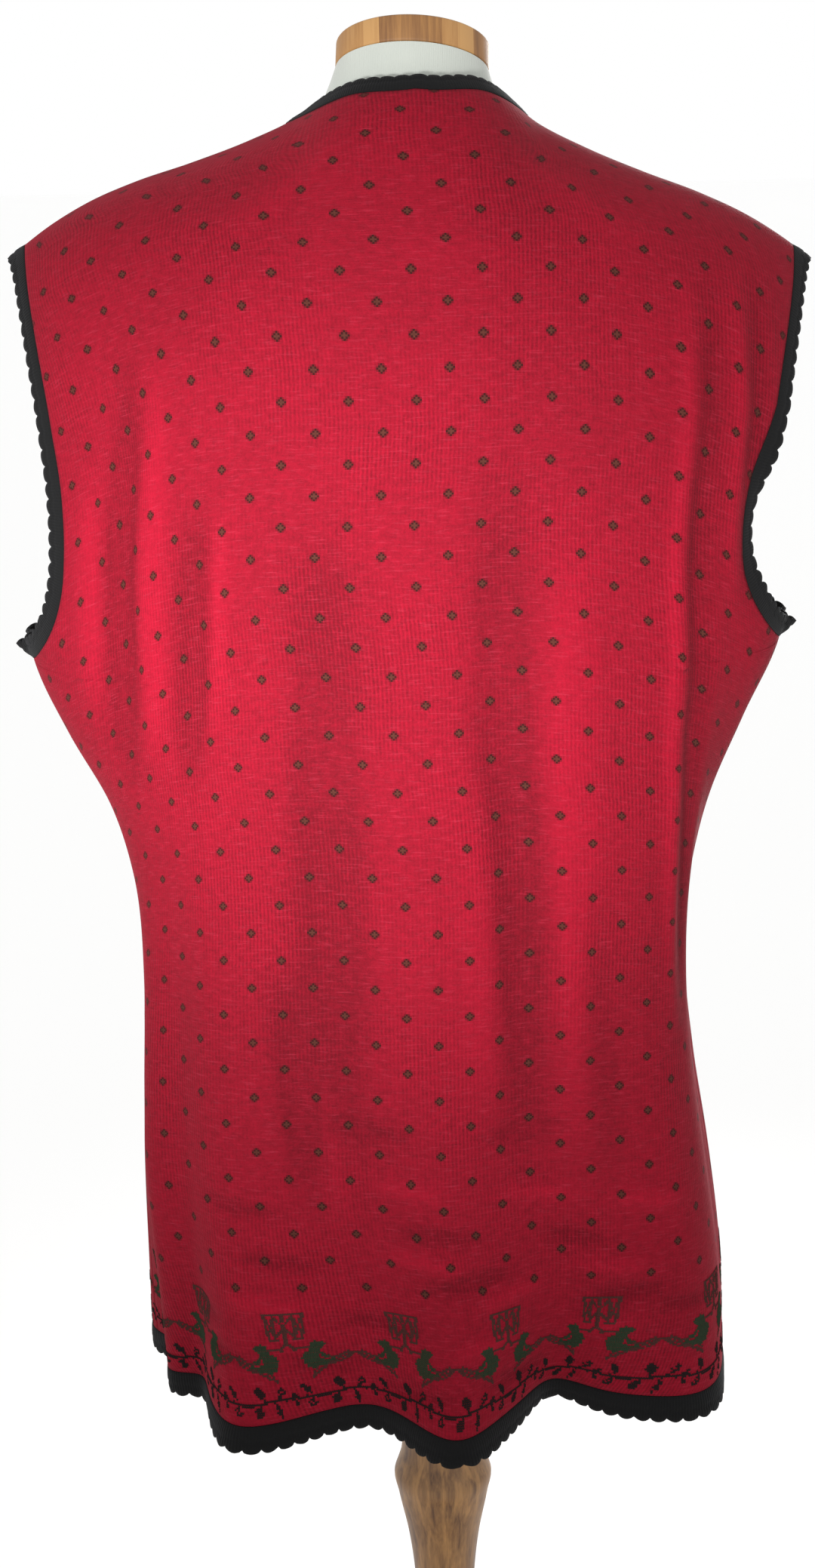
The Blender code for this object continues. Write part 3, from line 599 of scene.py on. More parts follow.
def wool_material(name, deep, bright, streak, sheen_colour):
    """Knitted wool with the sprinkled diamonds."""
    made, tree, shader = new_material(name)
    cloth = add_node(tree, "ShaderNodeUVMap", uv_map="cloth").outputs["UV"]
    place = add_node(tree, "ShaderNodeSeparateXYZ", {"Vector": cloth})

    def calc(operation, first, second=0.0, third=0.0):
        return math_node(tree, operation, first, second, third)

    def spread(scale_x, scale_y, detail, low, high, rough=0.55):
        noise = noise_on(tree, cloth, (scale_x, scale_y, 1.0), detail, rough)
        return stretched(noise, low, high)

    def stretched(value, low, high):
        return add_node(tree, "ShaderNodeMapRange", {
            "Value": value, "From Min": low, "From Max": high,
        }).outputs["Result"]

    across, up = place.outputs["X"], place.outputs["Y"]
    jog = noise_on(tree, cloth, (60.0, 260.0, 1.0), 2.0, 0.55)
    moved = calc("MULTIPLY_ADD", jog, 0.0011, across)
    wale = calc("SINE", calc("MULTIPLY", moved, 2.0 * math.pi / WALE))
    leg = calc("SINE", calc("MULTIPLY", up, 2.0 * math.pi / COURSE))
    broken = spread(620.0, 300.0, 2.0, 0.34, 0.62, 0.6)
    wale = calc("MULTIPLY", wale, calc("MULTIPLY_ADD", broken, 0.75, 0.25))
    wale_show = spread(13.0, 9.0, 3.0, 0.38, 0.62)
    level_streak = spread(95.0, 1000.0, 3.0, 0.54, 0.78, 0.65)
    dark_streak = spread(70.0, 850.0, 3.0, 0.60, 0.82, 0.6)
    fleck = spread(820.0, 760.0, 3.0, 0.32, 0.72, 0.75)
    felt = spread(210.0, 260.0, 4.0, 0.32, 0.68, 0.6)
    cloud = spread(9.0, 7.0, 4.0, 0.30, 0.72)

    # Painted shade: the wool is darkened in the hollows of the laid-on creases and lightened on their
    # ridges, from the crease depth kept on the cloth
    painted_crease_shade = add_node(tree, "ShaderNodeAttribute", attribute_name="fold").outputs["Fac"]
    tone = -0.20
    for part, weight in (
        (cloud, 0.22), (stretched(painted_crease_shade, -0.0014, 0.0014), 0.52), (felt, 0.28), (fleck, 0.32),
        (calc("MULTIPLY", wale, wale_show), 0.32), (dark_streak, -0.35),
    ):
        tone = calc("MULTIPLY_ADD", part, weight, tone)
    body = mix_colour(tree, tone, deep, bright, clamp_factor=True)
    lit = mix_colour(tree, calc("MULTIPLY", level_streak, 0.42), body, streak)

    covers = []
    for half in (0.0, 0.5):
        snapped = []
        for value, step, start, pitch in (
            (across, DIAMOND_ACROSS, DIAMOND_START[0], DIAMOND_CELL[0]),
            (up, DIAMOND_UP, DIAMOND_START[1], DIAMOND_CELL[1]),
        ):
            moved = calc("DIVIDE", calc("SUBTRACT", value, start + half * step), step)
            wrapped = calc("SUBTRACT", moved, calc("ROUND", moved))
            snapped.append(calc("ROUND", calc("ABSOLUTE", calc("MULTIPLY", wrapped, step / pitch))))
        total = calc("ADD", *snapped)
        full = calc("LESS_THAN", total, 2.5)
        partly = calc("MULTIPLY", calc("LESS_THAN", total, 3.5),
                      calc("LESS_THAN", calc("MAXIMUM", *snapped), 2.5))
        covers.append((calc("MULTIPLY_ADD", partly, 0.5, calc("MULTIPLY", full, 0.5)), total))
    cover = calc("MAXIMUM", covers[0][0], covers[1][0])
    cover = calc("MULTIPLY", cover, calc("GREATER_THAN", up, DIAMONDS_START))
    light = calc("LESS_THAN", calc("MINIMUM", covers[0][1], covers[1][1]), 1.5)
    shade = calc("MULTIPLY", light, calc("MULTIPLY_ADD", fleck, 0.4, 0.5))
    yarn = mix_colour(tree, shade, "#1C0A07", "#43261C")
    colour = mix_colour(tree, calc("MULTIPLY", cover, 0.93), lit, yarn)

    relief = calc("MULTIPLY", calc("MULTIPLY_ADD", wale_show, 0.60, 0.20), wale)
    for part, weight in ((leg, 0.15), (fleck, 0.8), (felt, 1.2)):
        relief = calc("MULTIPLY_ADD", part, weight, relief)
    dress(tree, shader, colour, {
        "Roughness": 0.88, "Specular IOR Level": 0.12, "Sheen Weight": 0.07,
        "Sheen Roughness": 0.45, "Sheen Tint": linear(sheen_colour),
    }, relief, 0.45, 0.00035)
    return made


red_wool = wool_material("merino_jacquard_red", "#540310", "#86081F", "#94283A", "#FF4A66")

back = panel_sheet([back_row(rise) for rise in ROWS])
back_cloth = closed_sheet("back_cloth", back)
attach(back_cloth, "root")
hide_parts("back_panel")


# Fronts
# The two fronts in the same knit, cut to a V neck. The wearer's right front, at +X, laps
# 2.6 cm over the left one down the middle, and the left front sinks a little under it.

OVERLAP = 0.013
V_POINT = 0.840
FRONT_COLUMNS = 92
UNDERLAP_DEPTH = 0.0034
UNDERLAP_FULL = -0.030
UNDERLAP_START = -0.050
UNDERLAP_SHIFT = 0.010
UNDERLAP_TOP = 0.985
UNDERLAP_EASE = 0.055


def front_row(rise, hand):
    """Turns and rises of one row of a front, from the side seam to the front edge."""
    if rise <= UNDERARM:
        side = math.pi / 2.0 + seam_step(math.pi / 2.0, rise)
    else:
        side = math.pi - turn_behind(float(read_table(ARMHOLE, 2, rise)), rise)
    share = np.clip((rise - V_POINT) / (RIDGE - V_POINT), 0.0, 1.0)
    edge = math.pi - turn_behind(-OVERLAP + (NECK_POINT + OVERLAP) * share ** 0.92, rise)

    def rise_at(turns):
        return np.full(turns.shape, rise)

    turns = even_turns(hand * side, hand * edge, rise_at, FRONT_COLUMNS)
    return turns, rise_at(turns)


right = panel_sheet([front_row(rise, 1.0) for rise in ROWS])
left = panel_sheet([front_row(rise, -1.0) for rise in ROWS])
near = left["points"][..., 0] + UNDERLAP_SHIFT - UNDERLAP_START
near = np.clip(near / (UNDERLAP_FULL - UNDERLAP_START), 0.0, 1.0)
low = np.clip((UNDERLAP_TOP - ROWS) / UNDERLAP_EASE, 0.0, 1.0)[:, None]
left["points"] = left["points"] - left["normals"] * (UNDERLAP_DEPTH * ease_in(near) * low)[..., None]

for name, sheet, node in (
    ("right_front_cloth", right, "right_front"),
    ("left_front_cloth", left, "left_front"),
):
    piece = closed_sheet(name, sheet)
    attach(piece, "root")
    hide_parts(node)


# Scalloped trims
# Black knitted bands, folded double, sewn on edge to edge with the cloth and ending in a
# row of small scallops 8.7 mm apart. They run round the hem, both armholes, and up the left
# front, round the back neck and down the right front.

SCALLOP = 0.0087
SCALLOP_DEPTH = 0.0022
TRIM_WALL = 0.0020
TRIM_CROWN = 0.0008
HEM_TRIM = 0.0150
ARM_TRIM = 0.0120
NECK_TRIM = 0.0105
STEPS_PER_SCALLOP = 8
TRIM_STEPS = 9
BEND_STEPS = 12
RIB = 0.0016
LIP_SWELL = 0.0014
GROOVE_DEPTH = 0.0005
GROOVE_PLACE = 0.62
GROOVE_WIDTH = 0.07
V_BAND_START = 0.811
NECK_BAND_SCALLOP = 0.0012
# The hem band's lip behind the cloth: how far out from the edge and how deep
LIP = ((-0.0020, WALL + LIP_SWELL), (-0.0020, WALL + 0.0004), (SEAM, WALL + 0.0004))


# Black wool: close ribs across the band, a fine grey nap on the yarn
black_wool, tree, shader = new_material("wool_band_black")
cloth = add_node(tree, "ShaderNodeUVMap", uv_map="cloth").outputs["UV"]
place = add_node(tree, "ShaderNodeSeparateXYZ", {"Vector": cloth})
rib = math_node(tree, "SINE", math_node(tree, "MULTIPLY", place.outputs["X"], 2.0 * math.pi / RIB))
nap = noise_on(tree, cloth, (700.0, 900.0, 1.0), 3.0, 0.7)
dress(tree, shader, mix_colour(tree, nap, "#030303", "#0B0B0C"), {
    "Roughness": 0.92, "Specular IOR Level": 0.20, "Sheen Weight": 0.04,
    "Sheen Roughness": 0.5, "Sheen Tint": linear("#8A8A90"),
}, math_node(tree, "MULTIPLY_ADD", rib, 0.6, nap), 0.5, 0.0004)


def turn_outward(work):
    """Turn a closed mesh's faces outward."""
    if work.calc_volume(signed=True) < 0.0:
        bmesh.ops.reverse_faces(work, faces=work.faces)


def scalloped_band(name, edge, normals, width, closed=False, flip=1.0, depth=SCALLOP_DEPTH,
                   lip=False):
    """Band that carries on past an edge of the cloth, crowned across, scalloped outside."""
    if closed:
        edge = np.concatenate((edge, edge[:1]))
        normals = np.concatenate((normals, normals[:1]))
    lengths = run_along(edge)
    scallops = int(round(lengths[-1] / SCALLOP))
    marks = np.linspace(0.0, lengths[-1], scallops * STEPS_PER_SCALLOP + 1)
    edge, normals = (
        np.stack([np.interp(marks, lengths, values[:, axis]) for axis in range(3)], axis=1)
        for values in (edge, normals)
    )
    normals /= np.linalg.norm(normals, axis=1, keepdims=True)
    along = np.gradient(edge, axis=0)
    if closed:
        along[0] = along[-1] = edge[1] - edge[-2]
    away = flip * np.cross(along, normals)
    if closed:
        turned = away[:-1]
        away[:-1] = sum(np.roll(turned, step, axis=0) for step in range(-BEND_STEPS, BEND_STEPS + 1))
        away[-1] = away[0]
        away -= normals * np.sum(away * normals, axis=1, keepdims=True)
    away /= np.linalg.norm(away, axis=1, keepdims=True)
    spread = np.random.default_rng(11)
    number = np.arange(marks.size) // STEPS_PER_SCALLOP % scallops
    part = np.arange(marks.size) % STEPS_PER_SCALLOP / STEPS_PER_SCALLOP
    skew = spread.uniform(0.78, 1.28, scallops)[number]
    bite = spread.uniform(0.65, 1.20, scallops)[number]
    notch = 1.0 - np.sin(np.pi * part ** skew) ** 0.7
    notch[part == 0.0] = 1.0
    bite[part == 0.0] = 1.0
    reach = width - depth * bite * notch
    share = np.linspace(0.0, 1.0, TRIM_STEPS)
    out = SEAM + (reach[:, None] - SEAM) * share
    crown = TRIM_CROWN * np.sin(np.pi * np.clip(share, 0.04, 0.97)) ** 0.6
    crown -= GROOVE_DEPTH * np.exp(-((share - GROOVE_PLACE) / GROOVE_WIDTH) ** 2)
    outer = edge[:, None] + away[:, None] * out[..., None]
    thick = TRIM_WALL * (1.0 - 0.35 * share ** 4)
    if lip:
        thick += LIP_SWELL * np.clip(1.0 - 5.0 * share, 0.0, 1.0)
    inner = outer - normals[:, None] * thick[:, None]
    outer = outer + normals[:, None] * crown[:, None]
    profile = np.concatenate((outer, inner[:, ::-1]), axis=1)
    if lip:
        behind = [edge + away * out - normals * deep for out, deep in LIP]
        profile = np.concatenate((profile, np.stack(behind, axis=1)), axis=1)
    count = marks.size - 1 if closed else marks.size
    ring = profile.shape[1]
    points = profile[:count].reshape(-1, 3)
    faces = []
    for step in range(count if closed else count - 1):
        here = step * ring
        there = ((step + 1) % count) * ring
        for side in range(ring):
            after = (side + 1) % ring
            faces.append((here + side, here + after, there + after, there + side))
    if not closed:
        faces.append(tuple(range(ring))[::-1])
        faces.append(tuple((count - 1) * ring + side for side in range(ring)))
    piece = new_piece(name, points, faces, black_wool)
    work = bmesh.new()
    work.from_mesh(piece.data)
    turn_outward(work)
    layer = work.loops.layers.uv.new("cloth")
    work.verts.ensure_lookup_table()
    for face in work.faces:
        for loop in face.loops:
            row, side = divmod(loop.vert.index, ring)
            step = side if side < TRIM_STEPS else max(2 * TRIM_STEPS - 1 - side, 0)
            loop[layer].uv = (marks[row], reach[row] * share[step])
    work.to_mesh(piece.data)
    work.free()
    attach(piece, "root")
    return piece


hem_edge, hem_normals = (
    np.concatenate((left[key][0][::-1], back[key][0], right[key][0])) for key in ("points", "normals")
)
hem_band = scalloped_band("hem_band", hem_edge, hem_normals, HEM_TRIM, lip=True)
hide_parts("hem_trim")

for side, column, front, flip in (("right", -1, right, 1.0), ("left", 0, left, -1.0)):
    loop, loop_normals = (
        np.concatenate((back[key][ARM_START:, column], front[key][ARM_START:, 0][::-1]))
        for key in ("points", "normals")
    )
    band = scalloped_band(side + "_armhole_band", loop, loop_normals, ARM_TRIM, closed=True, flip=flip)
    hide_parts(side + "_armhole_trim")

v_row = int(np.argmin(np.abs(ROWS - V_BAND_START)))
neck_columns = slice(SIDE_COLUMNS, SIDE_COLUMNS + NECK_COLUMNS + 1)
front_edge = right["points"][::-1, -1]
tail_end = front_edge[-1] + (front_edge[-1] - front_edge[-6]) * HEM_TRIM / (ROWS[5] - ROWS[0])
neck_edge = np.concatenate((
    left["points"][v_row:, -1], back["points"][-1, neck_columns], front_edge, tail_end[None],
))
neck_normals = np.concatenate((
    left["normals"][v_row:, -1], back["normals"][-1, neck_columns], right["normals"][::-1, -1],
    right["normals"][:1, -1],
))
neck_band = scalloped_band("neck_and_front_band", neck_edge, neck_normals, NECK_TRIM,
                           flip=-1.0, depth=NECK_BAND_SCALLOP)
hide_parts("neck_and_front_trim")


# Border above the hem
# Pairs of small green birds that look back over their tails, under an olive lattice, and a
# black vine with leaves and berries below. They are knitted in, so each shape is worked
# stitch by stitch from outlines charted in millimetres.

REPEAT = 60
PAIR_COURSES = 58
PAIR_REPEATS = 8
VINE_REPEAT = 38
VINE_COURSES = 20
VINE_REPEATS = 13
VINE_START = 0.06
STITCH_LIFT = 0.00010
STITCH_SWELL = 0.001
LOOK_ASIDE = 0.3
SEARCH_STEPS = 8
SPARE_REPEATS = 4
LEG_WIDTH = 0.53

# Metres across the cloth of each pair's middle and of each meeting of two tails
BORDER_PLACES = (-0.1510, -0.1200, -0.0929, -0.0612, -0.0318, -0.0025, 0.0313, 0.0606, 0.0885,
                 0.1267, 0.1660)
PLAIN_HALF = 0.0327

# Outlines in mm from the middle of a pair and up from the cloth's edge
BIRD_BODY = (
    (6.6, 28.4), (5.6, 31.0), (6.6, 33.4), (9.2, 35.0), (10.0, 36.8), (10.8, 39.2), (13.2, 40.4),
    (16.0, 39.8), (18.2, 38.2), (16.0, 37.0), (15.2, 35.6), (15.2, 33.8), (16.4, 32.4),
    (18.6, 31.4), (21.4, 30.4), (20.4, 27.4), (15.0, 25.2), (10.2, 24.8), (7.8, 26.0),
)
BIRD_GAP = ((14.6, 32.4), (14.6, 29.8), (19.0, 28.6))
BIRD_LINES = (
    (((18.0, 30.2), (21.6, 29.8), (25.0, 31.2), (28.0, 32.6), (30.8, 32.2)), 0.60),
    (((17.0, 26.4), (21.0, 26.6), (25.0, 27.8), (28.4, 29.8), (30.8, 32.2)), 0.60),
    (((21.4, 28.4), (25.0, 29.6), (28.4, 31.2)), 0.45),
    (((18.0, 26.2), (13.6, 23.6), (8.4, 20.2)), 0.60),
    (((12.4, 25.4), (9.6, 22.8)), 0.50),
    (((9.8, 36.8), (6.4, 37.2), (3.0, 36.4)), 0.50),
)
# The lattice is the same on both hands, so only its right half is charted
LATTICE_LINES = (
    (((0.0, 56.8), (9.6, 56.8)), 0.65), (((9.6, 56.8), (8.0, 42.6), (3.4, 42.6)), 0.65),
    (((4.6, 56.0), (4.6, 43.0)), 0.60), (((8.8, 55.0), (4.8, 44.4)), 0.60),
    (((8.2, 44.6), (4.8, 54.8)), 0.60), (((0.0, 49.4), (4.2, 55.0)), 0.60),
    (((0.0, 49.4), (4.2, 44.0)), 0.60), (((0.0, 56.4), (0.0, 52.6)), 0.60),
    (((0.0, 49.0), (0.0, 40.4)), 0.60), (((0.0, 40.4), (3.2, 37.0)), 0.60),
)

# Vine: leaves as place, height, half length, half width and lean in degrees
VINE_LEAVES = (
    (-0.6, 15.2, 3.9, 2.5, 112.0), (-4.2, 5.6, 3.5, 2.2, 64.0), (6.2, 4.8, 3.6, 1.5, 84.0),
    (16.8, 12.2, 1.6, 1.2, 20.0), (17.0, 7.0, 1.5, 1.1, 130.0), (23.4, 14.4, 3.7, 1.7, 124.0),
)
VINE_RINGS = ((10.8, 14.8, 1.5), (23.8, 5.8, 1.4))
VINE_TWIGS = (
    ((0.4, 12.0), (1.0, 10.0)), ((-3.2, 8.4), (-2.2, 10.0)), ((6.0, 8.0), (5.4, 10.4)),
    ((7.0, 10.2), (10.0, 13.4)), ((12.0, 10.0), (16.0, 12.0)), ((15.6, 10.0), (16.6, 8.2)),
    ((22.0, 11.4), (23.0, 9.8)), ((24.0, 7.2), (25.0, 9.6)),
)
VINE_HEIGHT = 10.0
VINE_WAVE = 0.9
VINE_HALF = 0.60
RING_HALF = 0.55
TWIG_HALF = 0.50
GAP_HALF = 0.45


def near_line(across, up, line):
    """Distance from each stitch to a broken line."""
    best = np.full(across.shape, np.inf)
    for (from_x, from_y), (to_x, to_y) in zip(line[:-1], line[1:]):
        run_x, run_y = to_x - from_x, to_y - from_y
        share = ((across - from_x) * run_x + (up - from_y) * run_y) / (run_x ** 2 + run_y ** 2)
        share = np.clip(share, 0.0, 1.0)
        gap = np.hypot(across - from_x - share * run_x, up - from_y - share * run_y)
        best = np.minimum(best, gap)
    return best


def within(across, up, outline):
    """Whether each stitch lies within a closed outline."""
    inside = np.zeros(across.shape, dtype=bool)
    for (from_x, from_y), (to_x, to_y) in zip(outline, outline[1:] + outline[:1]):
        crosses = (from_y > up) != (to_y > up)
        slope = (to_x - from_x) / (to_y - from_y) if to_y != from_y else 0.0
        inside ^= crosses & (across < from_x + (up - from_y) * slope)
    return inside


def stitch_grid(stitches, courses, middle):
    """Place and height in mm of each stitch in a chart."""
    across = (np.arange(stitches) + 0.5 - middle) * STITCH_ACROSS * 1000.0
    up = (np.arange(courses) + 0.5) * STITCH_UP * 1000.0
    return np.meshgrid(across, up)


def chart_pairs():
    """One repeat of the birds and lattice: 0 plain, 1 green, 2 olive."""
    across, up = stitch_grid(REPEAT, PAIR_COURSES, 0.5 * REPEAT)
    chart = np.zeros(across.shape, dtype=int)
    beside = np.abs(across)
    chart[within(beside, up, BIRD_BODY)] = 1
    chart[near_line(beside, up, BIRD_GAP) < GAP_HALF] = 0
    for line, half_width in BIRD_LINES + LATTICE_LINES:
        chart[near_line(beside, up, line) < half_width] = 2
    return chart


def chart_vine():
    """One repeat of the vine: 0 plain, 3 black."""
    length = VINE_REPEAT * STITCH_ACROSS * 1000.0
    across, up = stitch_grid(VINE_REPEAT, VINE_COURSES, 0.0)
    height = VINE_HEIGHT + VINE_WAVE * np.sin(2.0 * math.pi * across / length)
    black = np.abs(up - height) < VINE_HALF
    for wrap in (-length, 0.0, length):
        place_x = across - wrap
        for place, level, half_length, half_width, lean in VINE_LEAVES:
            angle = math.radians(lean)
            away_x, away_y = place_x - place, up - level
            along = away_x * math.cos(angle) + away_y * math.sin(angle)
            beside = away_y * math.cos(angle) - away_x * math.sin(angle)
            black |= np.abs(beside) / half_width + (np.abs(along) / half_length) ** 1.5 < 1.0
        for place, level, radius in VINE_RINGS:
            black |= np.abs(np.hypot(place_x - place, up - level) - radius) < RING_HALF
        for twig in VINE_TWIGS:
            black |= near_line(place_x, up, twig) < TWIG_HALF
    return np.where(black, 3, 0)


def border_place(repeats):
    """Metres across the cloth of a place counted in repeats."""
    marks = np.arange(len(BORDER_PLACES)) * 0.5
    beyond = np.minimum(repeats - marks[0], 0.0) + np.maximum(repeats - marks[-1], 0.0)
    return np.interp(repeats, marks, BORDER_PLACES) + 2.0 * PLAIN_HALF * beyond


def find_on(sheet, across, up):
    """Row and column on a sheet's grid where its cloth coordinates are those given."""
    rows, columns = sheet["across"].shape
    sign = 1.0 if sheet["across"][0, -1] > sheet["across"][0, 0] else -1.0
    row = np.interp(up, sheet["up"][:, columns // 2], np.arange(rows))
    column = np.full(across.shape, 0.5 * columns)
    for _ in range(SEARCH_STEPS):
        low = np.clip(row.astype(int), 0, rows - 2)
        part = np.clip(row - low, 0.0, 1.0)
        for level in np.unique(low):
            chosen = low == level
            mixed = (sheet["across"][level] + sheet["across"][level + 1]) * 0.5 * sign
            column[chosen] = np.interp(
                across[chosen] * sign, mixed, np.arange(columns), left=-9.0, right=columns + 9.0,
            )
        side = np.clip(column.astype(int), 0, columns - 1)
        here = sheet["up"][low, side] * (1.0 - part) + sheet["up"][low + 1, side] * part
        slope = sheet["up"][low + 1, side] - sheet["up"][low, side]
        row = np.clip(row + (up - here) / slope, -9.0, rows + 9.0)
    return row, column


def read_grid(grid, row, column):
    """Value of a grid between its rows and columns."""
    low = np.clip(row.astype(int), 0, grid.shape[0] - 2)
    side = np.clip(column.astype(int), 0, grid.shape[1] - 2)
    part = (row - low)[:, None]
    over = (column - side)[:, None]
    first = grid[low, side] * (1.0 - over) + grid[low, side + 1] * over
    second = grid[low + 1, side] * (1.0 - over) + grid[low + 1, side + 1] * over
    return first * (1.0 - part) + second * part


def stitch_tree(finish):
    """Tree that sets a small V of yarn on every point, turned to lie on the cloth."""
    tree = bpy.data.node_groups.new("knitted_in_stitches", "GeometryNodeTree")
    tree.interface.new_socket("Points", in_out="INPUT", socket_type="NodeSocketGeometry")
    for name, value in (("Slant", 0.8), ("Roundness", 0.11)):
        socket = tree.interface.new_socket(name, in_out="INPUT", socket_type="NodeSocketFloat")
        socket.default_value = value
    tree.interface.new_socket("Stitches", in_out="OUTPUT", socket_type="NodeSocketGeometry")
    given = tree.nodes.new("NodeGroupInput")
    grid = add_node(tree, "GeometryNodeMeshGrid", {
        "Size X": 1.06, "Size Y": 0.99, "Vertices X": 5, "Vertices Y": 2,
    })
    place = add_node(tree, "GeometryNodeInputPosition")
    parts = add_node(tree, "ShaderNodeSeparateXYZ", {"Vector": place.outputs["Position"]})
    across = parts.outputs["X"]
    slanted = math_node(tree, "MULTIPLY", math_node(tree, "ABSOLUTE", across), given.outputs["Slant"])
    wave = math_node(tree, "COSINE", math_node(tree, "MULTIPLY", across, 2.0 * math.pi / LEG_WIDTH))
    dip = math_node(tree, "SUBTRACT", 1.0, wave)
    swell = math_node(tree, "MULTIPLY", dip, given.outputs["Roundness"])
    shift = add_node(tree, "ShaderNodeCombineXYZ", {"Y": slanted, "Z": swell})
    bent = add_node(tree, "GeometryNodeSetPosition", {
        "Geometry": grid.outputs["Mesh"], "Offset": shift.outputs["Vector"],
    })
    facing, course, size = (
        add_node(tree, "GeometryNodeInputNamedAttribute", {"Name": name}, data_type="FLOAT_VECTOR")
        for name in ("facing", "course", "size")
    )
    turned = add_node(tree, "FunctionNodeAxesToRotation", {
        "Primary Axis": facing.outputs["Attribute"], "Secondary Axis": course.outputs["Attribute"],
    }, primary_axis="Z", secondary_axis="X")
    points = add_node(tree, "GeometryNodeMeshToPoints", {"Mesh": given.outputs["Points"]})
    laid = add_node(tree, "GeometryNodeInstanceOnPoints", {
        "Points": points.outputs["Points"], "Instance": bent.outputs["Geometry"],
        "Rotation": turned.outputs["Rotation"], "Scale": size.outputs["Attribute"],
    })
    whole = add_node(tree, "GeometryNodeRealizeInstances", {"Geometry": laid.outputs["Instances"]})
    dyed = add_node(tree, "GeometryNodeSetMaterial", {
        "Geometry": whole.outputs["Geometry"], "Material": finish,
    })
    result = tree.nodes.new("NodeGroupOutput")
    tree.links.new(dyed.outputs["Geometry"], result.inputs["Stitches"])
    return tree


def grown_piece(name, host, tree, values):
    """Run a tree on a host and keep what it makes as a plain mesh piece."""
    modifier = host.modifiers.new(name, "NODES")
    modifier.node_group = tree
    for item in tree.interface.items_tree:
        if item.in_out == "INPUT" and item.name in values:
            modifier[item.identifier] = values[item.name]
    graph = bpy.context.evaluated_depsgraph_get()
    mesh = bpy.data.meshes.new_from_object(host.evaluated_get(graph), depsgraph=graph)
    mesh.name = name
    bpy.data.objects.remove(host, do_unlink=True)
    piece = bpy.data.objects.new(name, mesh)
    bpy.context.scene.collection.objects.link(piece)
    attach(piece, "root")
    return piece


def yarn_material(name, deep, bright):
    """Dyed wool yarn of a knitted-in shape: matt, mottled by its own fibres."""
    made, tree, shader = new_material(name)
    place = add_node(tree, "ShaderNodeTexCoord").outputs["Object"]
    spot = noise_on(tree, place, 900.0, 2.0, 0.7)
    dress(tree, shader, mix_colour(tree, spot, deep, bright),
          {"Roughness": 0.9, "Specular IOR Level": 0.2})
    return made


border = {1: [], 2: [], 3: []}
for chart, span, start, count in (
    (chart_pairs(), REPEAT, -0.5 * REPEAT, PAIR_REPEATS),
    (chart_vine(), VINE_REPEAT, VINE_START * REPEAT, VINE_REPEATS),
):
    level, stitch = np.nonzero(chart)
    tone = chart[level, stitch]
    up = (level + 0.5) * STITCH_UP
    for number in range(-count, count + SPARE_REPEATS):
        repeats = (stitch + 0.5 + start + number * span) / REPEAT
        across = border_place(repeats)
        wide = border_place(repeats + 0.5 / REPEAT) - border_place(repeats - 0.5 / REPEAT)
        for sheet in (back, right, left):
            rows, columns = sheet["across"].shape
            row, column = find_on(sheet, across, up)
            held = (row >= 0.0) & (row <= rows - 1.0) & (column >= 0.3) & (column <= columns - 1.3)
            if not held.any():
                continue
            row, column = row[held], column[held]
            facing = read_grid(sheet["normals"], row, column)
            place = read_grid(sheet["points"], row, column) + facing * STITCH_LIFT
            course, step = (
                read_grid(grid, row, column + LOOK_ASIDE) - read_grid(grid, row, column - LOOK_ASIDE)
                for grid in (sheet["points"], sheet["across"][..., None])
            )
            if sheet is left:
                course = -course
            stretch = np.linalg.norm(course, axis=1) / np.abs(step[:, 0])
            size = np.stack((
                wide[held] * stretch, np.full(row.shape, STITCH_UP), np.full(row.shape, STITCH_SWELL),
            ), axis=1)
            for colour in border:
                chosen = tone[held] == colour
                border[colour].append((place[chosen], facing[chosen], course[chosen], size[chosen]))

for colour, name, slot, deep, bright in (
    (1, "bird_stitches", "wool_red", "#141B10", "#263421"),
    (2, "lattice_and_tail_stitches", "wool_red", "#26120F", "#472722"),
    (3, "vine_stitches", "wool_black", "#0C0607", "#1A0C0B"),
):
    yarn = yarn_material("dyed_yarn_" + name.split("_")[0], deep, bright)
    places, facings, courses, sizes = (np.concatenate(part) for part in zip(*border[colour]))
    mesh = bpy.data.meshes.new(name)
    mesh.from_pydata(places.tolist(), [], [])
    for label, values in (("facing", facings), ("course", courses), ("size", sizes)):
        held = mesh.attributes.new(label, "FLOAT_VECTOR", "POINT")
        held.data.foreach_set("vector", values.astype(np.float32).reshape(-1))
    host = bpy.data.objects.new(name + "_places", mesh)
    bpy.context.scene.collection.objects.link(host)
    piece = grown_piece(name, host, stitch_tree(yarn), {"Slant": 0.8, "Roundness": 0.11})


# Buttons
# Six plain black buttons, 16 mm across, with a raised rim and four holes, sewn to the upper
# front on the middle line. They are moulded in one piece and only the thread holds them.

BUTTON_RISES = (0.815, 0.740, 0.665, 0.590, 0.515, 0.440)
BUTTON_RADIUS = 0.0080
BUTTON_THICKNESS = 0.0034
BUTTON_LIFT = 0.0008
BUTTON_SIDES = 40
BUTTON_SHARP = math.radians(35.0)
BUTTON_HOLE = 0.0009
HOLE_SIDES = 16
HOLE_REACH = 0.0021
HOLE_DEPTH = 0.02
BUTTON_PROFILE = (
    (0.0, 0.00), (0.86, 0.00), (0.97, 0.15), (1.0, 0.40), (0.99, 0.72), (0.94, 0.93),
    (0.86, 1.00), (0.77, 0.95), (0.70, 0.78), (0.62, 0.70), (0.0, 0.68),
)

horn, tree, shader = new_material("moulded_resin_black")
place = add_node(tree, "ShaderNodeTexCoord").outputs["Object"]
swirl = noise_on(tree, place, 260.0, 3.0, distortion=1.5)
dress(tree, shader, mix_colour(tree, swirl, "#0D0D0E", "#1E1D1F"), {"Roughness": 0.46})

